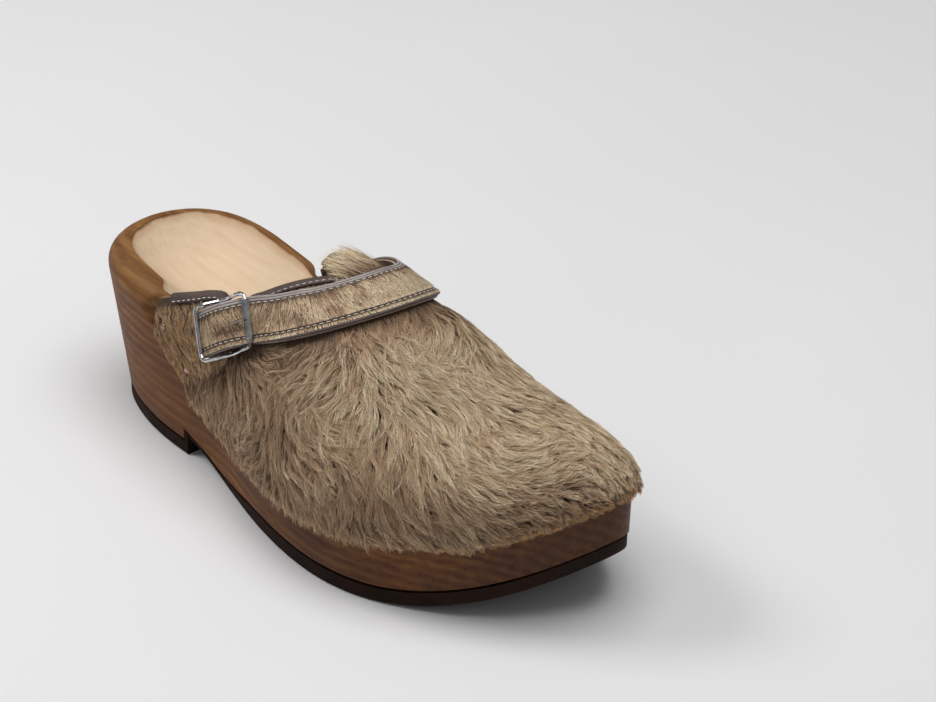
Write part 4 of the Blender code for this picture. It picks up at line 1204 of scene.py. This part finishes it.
def outer_triangles(node):
    """Outward-facing triangles of the hide, in millimetres in the outline's frame."""
    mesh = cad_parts[node].data
    mesh.calc_loop_triangles()
    points = np.array([v.co for v in mesh.vertices]) / MM - CENTRE_SHIFT
    triangles = np.array([t.vertices[:] for t in mesh.loop_triangles])
    corners = points[triangles]
    normals = np.cross(corners[:, 1] - corners[:, 0], corners[:, 2] - corners[:, 0])
    areas = np.linalg.norm(normals, axis=1)
    keep = areas > 1e-6
    corners, normals, areas = corners[keep], normals[keep] / areas[keep][:, None], areas[keep] / 2
    middles = corners.mean(axis=1)
    inside = np.stack([
        np.interp(middles[:, 1], *zip(*SPINE)), np.clip(middles[:, 1], TOE_CENTRE_Y, None),
        np.full(len(middles), 40.0),
    ], axis=1)
    outwards = middles - inside
    outwards /= np.linalg.norm(outwards, axis=1)[:, None]
    keep = (normals * outwards).sum(axis=1) > 0.25
    return corners[keep], normals[keep], areas[keep]


def scattered(rng, corners, areas, count):
    """Points spread evenly over the triangles, with the triangle of each."""
    which = rng.choice(len(areas), size=count, p=areas / areas.sum())
    a, b = rng.random((2, count))
    fold = a + b > 1
    a[fold], b[fold] = 1 - a[fold], 1 - b[fold]
    c = corners[which]
    points = c[:, 0] + (c[:, 1] - c[:, 0]) * a[:, None] + (c[:, 2] - c[:, 0]) * b[:, None]
    return points, which


def flow_at(points):
    """The way the hair lies at each point, from the nearest entries of FLOW."""
    places = np.array([p for p, _ in FLOW], float)
    ways = np.array([d for _, d in FLOW], float)
    ways /= np.linalg.norm(ways, axis=1)[:, None]
    gaps = ((points[:, None, :] - places[None]) ** 2).sum(axis=2)
    weights = np.exp(-gaps / (2 * FLOW_REACH**2)) + 1e-9 / (gaps + 1)
    return (weights[:, :, None] * ways[None]).sum(axis=1)


def unit(vectors):
    """The same directions with length 1."""
    return vectors / np.maximum(np.linalg.norm(vectors, axis=-1, keepdims=True), 1e-9)


def turn(vectors, axes, angles):
    """Vectors turned about axes square to them."""
    return vectors * np.cos(angles)[:, None] + np.cross(axes, vectors) * np.sin(angles)[:, None]


def strands(paths, widths, sides):
    """Points and four-sided faces of flat tapered hairs along the paths, one ribbon each."""
    count, rows = paths.shape[:2]
    shift = sides * widths[:, :, None] / 2
    points = np.stack([paths - shift, paths + shift], axis=2).reshape(-1, 3)
    first = np.arange(count)[:, None] * rows * 2 + np.arange(rows - 1)[None] * 2
    faces = np.stack([first, first + 1, first + 3, first + 2], axis=2).reshape(-1, 4)
    return points, faces


class HairGround:
    """The hide's outer face, with tests for where the strap and the edges are."""

    def __init__(self, strap_places):
        self.corners, self.normals, self.areas = outer_triangles("hide_upper")
        flat = self.corners.reshape(-1, 3)
        faces = np.arange(len(flat)).reshape(-1, 3)
        self.tree = BVHTree.FromPolygons([Vector(p) for p in flat], faces.tolist())
        self.strap = np.array([p for p, _, _, _ in strap_places])
        self.strap_across = np.array([a for _, _, a, _ in strap_places])
        total = strap_places[-1][3]
        self.strap_half = np.array([half_width_at(at, total) for _, _, _, at in strap_places])

    def nearest(self, points):
        places, normals = [], []
        for point in points:
            place, normal, _, _ = self.tree.find_nearest(Vector(point))
            places.append(place[:])
            normals.append(normal[:])
        return np.array(places), np.array(normals)

    def from_strap(self, points):
        """Signed distance to the strap's edge (negative under it) and which side of the strap it is on."""
        gaps, sides = [], []
        for start in range(0, len(points), 4000):
            some = points[start:start + 4000]
            away = some[:, None, :] - self.strap[None]
            distance = np.linalg.norm(away, axis=2)
            nearest = distance.argmin(axis=1)
            rows = np.arange(len(some))
            across = (away[rows, nearest] * self.strap_across[nearest]).sum(axis=1)
            gaps.append(distance[rows, nearest] - self.strap_half[nearest])
            sides.append(across)
        return np.concatenate(gaps), np.concatenate(sides)

    def from_edge(self, points):
        distance = []
        for start in range(0, len(points), 4000):
            some = points[start:start + 4000]
            distance.append(np.linalg.norm(some[:, None, :] - FREE_EDGE[None], axis=2).min(axis=1))
        return np.concatenate(distance)


def above_ledge(points):
    """Height of each point above the ledge that the hide is nailed to."""
    ledge = np.interp(points[:, 1], *zip(*LEDGE)) + np.array([spring(y) for y in points[:, 1]])
    return points[:, 2] - ledge


def guide_paths(rng, ground, roots, normals, swirl, bend):
    """One curved path per lock of hair, combed over the hide, with its length and shade values."""
    count = len(roots)
    height = above_ledge(roots)
    edge = ground.from_edge(roots)
    strap_gap, strap_side = ground.from_strap(roots)
    back = np.clip((roots[:, 1] - 22) / 16, 0, 1) * (strap_side > -14)
    tongue = ((strap_side > 0) & (roots[:, 2] > 78)).astype(float)
    short = np.clip(np.maximum(back, tongue), 0, 1)
    toe = np.clip((-95 - roots[:, 1]) / 25, 0, 1)
    length = VAMP_LENGTH + (TOE_LENGTH - VAMP_LENGTH) * toe
    length = length + (TAB_LENGTH - length) * short
    low = 1 - np.clip((height - 2) / 12, 0, 1)
    length = length + (np.minimum(length, EDGE_LENGTH) - length) * low * 0.9
    length *= rng.uniform(0.75, 1.2, count)
    length = np.where(edge < 6, np.minimum(length, 4.5), length)
    lift = (VAMP_LIFT + (TAB_LIFT - VAMP_LIFT) * short) * rng.uniform(0.55, 1.25, count)
    near_strap = np.clip((strap_gap + 1) / 7, 0.12, 1)
    lift *= np.where(strap_side < 0, np.maximum(near_strap, 0.3), near_strap)

    ways = flow_at(roots)
    ways = unit(ways - normals * (ways * normals).sum(axis=1, keepdims=True))
    ways = turn(ways, normals, swirl.at(roots) * 0.85 * (1 - 0.6 * short) + rng.normal(0, 0.15, count))
    curl = bend.at(roots) * 1.0 + rng.normal(0, 0.25, count)
    wave_phase = rng.uniform(0, 2 * math.pi, count)
    wave_size = rng.uniform(0.25, 0.6, count) * (1 - 0.7 * short)

    points = roots.copy()
    paths = [points.copy()]
    step = length / GUIDE_STEPS
    up = normals.copy()
    free = np.zeros(count, bool)
    for k in range(1, GUIDE_STEPS + 1):
        t = k / GUIDE_STEPS
        swing = curl / GUIDE_STEPS + wave_size * np.cos(wave_phase + t * 7.0) * 0.45
        ways = turn(ways, up, swing)
        points = points + ways * step[:, None]
        places, found = ground.nearest(points)
        away = points - places
        along = away - found * (away * found).sum(axis=1, keepdims=True)
        free |= np.linalg.norm(along, axis=1) > 0.8
        wanted = lift * min(1.0, (t * 2.2) ** 0.7) * (1 - 0.25 * t)
        held = places + found * wanted[:, None]
        points = np.where(free[:, None], points + ways * -0.45 * step[:, None], held)
        ways = points - paths[-1]
        up = np.where(free[:, None], up, found)
        ways = unit(ways - up * (ways * up).sum(axis=1, keepdims=True))
        paths.append(points.copy())
    paths = np.stack(paths, axis=1)
    stop = np.ones(count)
    for k in range(1, GUIDE_STEPS + 1):
        gap, _ = ground.from_strap(paths[:, k])
        hit = (gap < 0.4) & (stop == 1)
        stop[hit] = (k - 1) / GUIDE_STEPS
    return paths, stop, short, low, toe


def comb(rng, ground, count, lock_area):
    """Hair of the hide: (paths, widths, sides, shade rows) for `count` strands in locks."""
    swirl = Noise(rng, SWIRL_WAVELENGTH)
    bend = Noise(rng, BEND_WAVELENGTH)
    tone = Noise(rng, TONE_WAVELENGTH)
    locks = int(ground.areas.sum() / lock_area)
    lock_roots, which = scattered(rng, ground.corners, ground.areas, locks)
    guides, stop, short, low, toe = guide_paths(rng, ground, lock_roots, ground.normals[which], swirl, bend)
    roots, which = scattered(rng, ground.corners, ground.areas, count)
    gap, side = ground.from_strap(roots)
    edge = ground.from_edge(roots)
    wanted = (gap > -0.5) & (edge > 3.2)
    roots = roots[wanted]
    tree = BVHTree.FromPolygons(
        [Vector(p + np.array(o) * 0.01) for p in lock_roots for o in ((0, 0, 0), (1, 0, 0), (0, 1, 0))],
        [(3 * i, 3 * i + 1, 3 * i + 2) for i in range(locks)],
    )
    lock = np.array([tree.find_nearest(Vector(p))[2] for p in roots])
    guide = guides[lock]
    reach = stop[lock] * rng.uniform(0.7, 1.08, len(roots))
    good = reach * np.linalg.norm(guide[:, -1] - guide[:, 0], axis=1) > 1.2
    roots, lock, guide, reach = roots[good], lock[good], guide[good], np.clip(reach[good], 0.05, 1.0)
    count = len(roots)

    rows = np.linspace(0.0, 1.0, STRAND_ROWS)
    at = rows[None] * reach[:, None] * GUIDE_STEPS
    low_row = np.clip(at.astype(int), 0, GUIDE_STEPS - 1)
    part = (at - low_row)[:, :, None]
    index = np.arange(count)[:, None]
    path = guide[index, low_row] * (1 - part) + guide[index, low_row + 1] * part
    pull = rng.uniform(*LOCK_PULL, count)[:, None, None] * rows[None, :, None] ** 1.3
    offset = (roots - guide[:, 0])[:, None]
    path = path + offset * (1 - pull)
    along = unit(np.gradient(path, axis=1))
    _, normals = ground.nearest(roots)
    sides = unit(np.cross(along, normals[:, None]))
    phase = rng.uniform(0, 2 * math.pi, (count, 1))
    cycles = rng.uniform(1.1, 2.5, (count, 1)) * reach[:, None]
    size = rng.uniform(*STRAND_WAVE, (count, 1)) * (1 - 0.6 * short[lock][:, None])
    wave = np.sin(phase + rows[None] * cycles * 2 * math.pi) * size * np.minimum(rows[None] * 3, 1)
    path = path + sides * wave[:, :, None]
    loft = rng.normal(0, 0.35, (count, 1)) * rows[None] * (1 - 0.6 * short[lock][:, None])
    path = path + normals[:, None] * loft[:, :, None]
    twist = rng.normal(0, 0.5, count)
    sides = sides * np.cos(twist)[:, None, None] + normals[:, None] * np.sin(twist)[:, None, None]
    widths = rng.uniform(*STRAND_WIDTH, (count, 1)) * (1 - 0.72 * rows[None] ** 1.6)
    widths *= 1 - 0.25 * short[lock][:, None]

    # Painted light: hair facing up towards the lamps is given lighter shades and the rest darker and browner;
    # the noise terms are random tone.
    painted_light = smooth_share(normals @ np.array(LIGHT_FACING_WAY), 0.3, 0.95)
    value = tone.at(roots) * 0.7 + rng.normal(0, 0.5, count) + painted_light * 2.3 - 0.85
    lit = rng.normal(0, 0.6, len(guides))[lock] + value
    shade = np.empty((count, STRAND_ROWS - 1), int)
    shade[:, 0] = np.where(value > 0.2, ROOT_BROWN, ROOT_DARK)
    shade[:, 1] = np.where(value > 0.5, MID_BROWN, np.where(value > -0.8, ROOT_BROWN, ROOT_DARK))
    shade[:, 2] = np.where(lit > 0.4, MID_TAN, np.where(lit > -0.6, MID_BROWN, ROOT_BROWN))
    shade[:, 3] = np.where(lit > 0.9, MID_GREY, np.where(lit > -0.3, MID_TAN, MID_BROWN))
    shade[:, 4] = np.where(lit > 0.6, TIP_ASH, np.where(lit > -0.2, TIP_TAN, MID_TAN))
    shade[:, 5] = np.where(lit > 0.2, TIP_CREAM, np.where(lit > -0.7, TIP_TAN, MID_TAN))
    golden = (rng.random(count) < 0.75 * low[lock] * (0.35 + toe[lock]) + 0.04)
    shade[golden, 4] = np.where(rng.random(golden.sum()) < 0.5, RUST, TIP_GOLD)
    shade[golden, 5] = TIP_GOLD
    tab = rng.random(count) < short[lock] * 0.8 * (roots[:, 2] < 82)
    shade[tab, 2:4] = np.where(lit[tab] > -0.5, MID_TAN, MID_BROWN)[:, None]
    shade[tab, 4:6] = np.where(lit[tab] > -0.4, TIP_TAN, TIP_GOLD)[:, None]
    return roots, path, widths, sides, shade


def hair_piece(name, path, widths, sides, shade, finishes):
    """One piece of the visual model from many strands."""
    points, faces = strands(path, widths, sides)
    add_piece(name, points, faces.tolist(), finishes, shade.ravel(), smooth=0, tidy=False)


def hide_hair(strap_places, finishes):
    """The long hair of the hide, cut into sectors of equal size round the vamp."""
    rng = np.random.default_rng(SEED)
    ground = HairGround(strap_places)
    roots, path, widths, sides, shade = comb(rng, ground, HAIR_COUNT, LOCK_AREA)
    angle = np.degrees(np.arctan2(roots[:, 0] - 8.0, -(roots[:, 1] + 40.0)))
    for number, zone in enumerate(np.array_split(np.argsort(angle), HAIR_PIECES), 1):
        name = f"hide_hair_{number}"
        hair_piece(name, path[zone], widths[zone], sides[zone], shade[zone], finishes)


def strap_hair(places, total, high, finishes):
    """Short hair on the strap, lying from its upper to its lower edge."""
    rng = np.random.default_rng(SEED + 1)
    points = np.array([p for p, _, _, _ in places])
    normals = np.array([n for _, n, _, _ in places])
    acrosses = np.array([a for _, _, a, _ in places])
    travel = np.array([t for _, _, _, t in places])
    along = unit(np.gradient(points, axis=0))
    count = STRAP_HAIR_COUNT
    at = rng.uniform(2.5, total - 1.5, count)
    spot = np.searchsorted(travel, at).clip(0, len(travel) - 1)
    half = np.array([half_width_at(t, total) for t in at]) - 2.3
    across = rng.uniform(-1, 1, count) * half
    slotted = SLOT_HALF_LENGTH + 0.8
    forward = at - STRAP_TIP_REACH
    clear = (abs(forward - SLOT_CENTRE) > slotted) | (abs(across) > SLOT_RADIUS + 0.6)
    spot, across, half, at = spot[clear], across[clear], half[clear], at[clear]
    count = len(spot)
    rows = np.linspace(0.0, 1.0, STRAND_ROWS)
    lean = Noise(rng, 26.0).at(points[spot]) * 0.35 + rng.normal(0, 0.16, count) + 0.12
    length = rng.uniform(4.0, 7.0, count)
    border = rng.random(count) < 0.13
    across = np.where(border, -(half - 0.9) - rng.uniform(0.0, 1.0, count), across)
    stop = np.where(border, half + 1.9, half - 1.6)
    length = np.minimum(length, (across + stop) / 0.95)
    long_enough = length > 0.7
    spot, across, at = spot[long_enough], across[long_enough], at[long_enough]
    lean, length, border = lean[long_enough], length[long_enough], border[long_enough]
    count = len(spot)
    move = -(rows[None] * length[:, None])
    sideways = across[:, None] + move * np.cos(lean)[:, None]
    seat = points[spot][:, None] + acrosses[spot][:, None] * sideways[:, :, None]
    seat = seat + along[spot][:, None] * (-move * np.sin(lean)[:, None])[:, :, None]
    arch = np.sin(np.minimum(rows * 1.3, 1.0) * math.pi * 0.62)
    rise = 0.75 * arch[None] * rng.uniform(0.5, 1.2, (count, 1))
    seat = seat + normals[spot][:, None] * (high - 0.05 + rise)[:, :, None]
    wave = np.sin(rng.uniform(0, 6.28, (count, 1)) + rows[None] * 5.0)
    wave = wave * rng.uniform(0.02, 0.2, (count, 1)) * rows[None]
    seat = seat + along[spot][:, None] * wave[:, :, None]
    sides = np.broadcast_to(along[spot][:, None], seat.shape)
    widths = rng.uniform(*STRAP_STRAND_WIDTH, (count, 1)) * (1 - 0.7 * rows[None] ** 1.5)
    grey = smooth_share(at, 62.0, 110.0)
    tone = Noise(rng, STRAP_TONE_WAVELENGTH).at(seat[:, 0]) * 1.1 + rng.normal(0, 0.7, count)
    lit = tone + grey * 1.9 - 0.6 + border * 0.9
    shade = np.empty((count, STRAND_ROWS - 1), int)
    shade[:, 0:2] = np.where(lit > 0.6, ROOT_BROWN, ROOT_DARK)[:, None]
    shade[:, 2:4] = np.where(lit > 0.5, MID_GREY, np.where(lit > -0.6, MID_TAN, ROOT_BROWN))[:, None]
    brown_tip = np.where(lit > -0.7, TIP_TAN, MID_BROWN)
    shade[:, 4:6] = np.where(lit > 0.9, TIP_CREAM, np.where(lit > 0.2, TIP_ASH, brown_tip))[:, None]
    hair_piece("hair_strap", seat, widths, sides, shade, finishes)


def tongue_hair(strap_places, finishes):
    """Fluffy pale hair that stands up from the inner corner of the tongue."""
    rng = np.random.default_rng(SEED + 2)
    ground = HairGround(strap_places)
    roots, which = scattered(rng, ground.corners, ground.areas, TONGUE_HAIR_TRIES)
    normals = ground.normals[which]
    gap, side = ground.from_strap(roots)
    edge = ground.from_edge(roots)
    corner = (roots[:, 0] > 2) & (roots[:, 1] < 31.8) & (roots[:, 2] > 84)
    wanted = corner & (side > 0) & (gap > 0.2) & (edge > 0.6)
    roots, normals = roots[wanted], normals[wanted]
    count = len(roots)
    inner = smooth_share(roots[:, 0], 3.0, 11.0)
    length = (4.0 + 9.5 * inner) * rng.uniform(0.75, 1.1, count)
    start = unit(normals * 0.2 + np.array(TONGUE_START_WAY) + rng.normal(0, 0.15, (count, 3)))
    rows = np.linspace(0.0, 1.0, STRAND_ROWS)
    bend = unit(np.array([TONGUE_END_WAY]) + rng.normal(0, 0.2, (count, 3)))
    path = roots[:, None] + start[:, None] * (rows[None] * length[:, None])[:, :, None]
    path = path + bend[:, None] * (rows[None] ** 2 * length[:, None] * 0.42)[:, :, None]
    sides = unit(np.cross(start, normals) + rng.normal(0, 0.3, (count, 3)))
    curl = np.sin(rng.uniform(0, 6.28, (count, 1)) + rows[None] * 6.0) * 0.35 * rows[None]
    path = path + sides[:, None] * curl[:, :, None]
    sides = np.broadcast_to(sides[:, None], path.shape)
    widths = rng.uniform(*TONGUE_STRAND_WIDTH, (count, 1)) * (1 - 0.7 * rows[None] ** 1.5)
    tone = rng.normal(0, 1, count)
    shade = np.empty((count, STRAND_ROWS - 1), int)
    shade[:, 0:2] = ROOT_BROWN
    shade[:, 2:4] = np.where(tone > 0, MID_GREY, MID_TAN)[:, None]
    shade[:, 4:6] = np.where(tone > 0.4, TIP_CREAM, TIP_ASH)[:, None]
    hair_piece("hair_tongue", path, widths, sides, shade, finishes)


def smooth_share(values, low, high):
    """Like smoothstep, for many values at once."""
    t = np.clip((values - low) / (high - low), 0.0, 1.0)
    return t * t * (3 - 2 * t)


# ---------------------------------------------------------------- the scene

def dress_cad_nodes(looks):
    """Better materials for the CAD nodes that stay visible."""
    finishes = {
        "hide_upper": looks["hide_base"], "leather_lining": looks["lining"], "chape": looks["chape"],
        "buckle_frame": looks["chrome"], "buckle_roller": looks["chrome"], "buckle_prong": looks["prong"],
        "chape_rivet": looks["rivet"], "strap_rivet": looks["rivet"],
    }
    for name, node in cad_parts.items():
        finish = looks["nail"] if name.startswith("nail") else finishes.get(name)
        if finish:
            node.data.materials.clear()
            node.data.materials.append(finish)


def make_looks():
    looks = {"wood": wood_material(), "rubber": rubber_material(), "thread": thread_material()}
    for name, dark, light in HIDE_LOOKS:
        looks[name] = hide_material(f"{name}_look", dark, light)
    for name, dark, light, *texture in LEATHER_LOOKS:
        looks[name] = leather_material(f"{name}_look", dark, light, *texture)
    for name, dark, light, low, high in METAL_LOOKS:
        looks[name] = metal_material(f"{name}_look", dark, light, low, high)
    return looks


def floor_and_light():
    """A pale floor, a grey studio round it and the lamps."""
    made = Nodes("floor_look")
    cloud = made.noise(made.place(), 3.0, 3.0)
    made.colour(made.ramp(cloud, [(0.3, (0.82, 0.815, 0.825)), (0.7, (0.85, 0.845, 0.855))]))
    made.shader.inputs["Roughness"].default_value = 0.55
    mesh = bpy.data.meshes.new("floor")
    reach = 3.0
    corners = [(-reach, -reach, 0), (reach, -reach, 0), (reach, reach, 0), (-reach, reach, 0)]
    mesh.from_pydata(corners, [], [(0, 1, 2, 3)])
    mesh.materials.append(made.material)
    floor = bpy.data.objects.new("floor", mesh)
    bpy.context.scene.collection.objects.link(floor)

    world = bpy.data.worlds.new("studio")
    world.use_nodes = True
    tree = world.node_tree
    where = tree.nodes.new("ShaderNodeTexCoord")
    split = tree.nodes.new("ShaderNodeSeparateXYZ")
    shades = tree.nodes.new("ShaderNodeValToRGB")
    for element, (at, grey) in zip(shades.color_ramp.elements, ((0.02, 0.25), (0.6, 1.0))):
        element.position = at
        element.color = (grey * 0.97, grey * 0.985, grey, 1.0)
    tree.links.new(where.outputs["Generated"], split.inputs["Vector"])
    tree.links.new(split.outputs["Z"], shades.inputs["Fac"])
    tree.links.new(shades.outputs["Color"], tree.nodes["Background"].inputs["Color"])
    tree.nodes["Background"].inputs["Strength"].default_value = 0.28
    bpy.context.scene.world = world
    for name, place, size, power, rgb in LIGHTS:
        light = bpy.data.lights.new(name, "AREA")
        light.size = size
        light.energy = power
        light.color = rgb
        lamp = bpy.data.objects.new(name, light)
        lamp.location = place
        lamp.rotation_mode = "QUATERNION"
        lamp.rotation_quaternion = (Vector((0, 0, 0.04)) - Vector(place)).to_track_quat("-Z", "Y")
        bpy.context.scene.collection.objects.link(lamp)


def plain_colours():
    """Colours as they are, with no film look on top."""
    bpy.context.scene.view_settings.view_transform = "Standard"


def camera():
    """The camera at the photographed angle."""
    data = bpy.data.cameras.new("camera")
    data.lens = CAMERA_LENS
    data.sensor_width = 36.0
    data.clip_start = 0.05
    data.clip_end = 20.0
    made = bpy.data.objects.new("camera", data)
    bpy.context.scene.collection.objects.link(made)
    back = -Vector(CAMERA_FORWARD).normalized()
    right = Vector(CAMERA_UP).cross(back).normalized()
    up = back.cross(right)
    turned = Matrix((right, up, back)).transposed().to_4x4()
    turned.translation = Vector(placed([CAMERA_PLACE])[0])
    made.matrix_world = turned
    bpy.context.scene.camera = made


def main():
    looks = make_looks()
    hairs = hair_materials()
    dress_cad_nodes(looks)
    smooth_sole(looks["wood"])
    smooth_outsole(looks["rubber"])
    bound_edges(looks["binding"], looks["thread"])
    places, total, high = strap_pieces(looks)
    hide_hair(places, hairs)
    tongue_hair(places, hairs)
    strap_hair(places, total, high, hairs)
    floor_and_light()
    plain_colours()
    camera()


main()
bpy.context.view_layer.update()
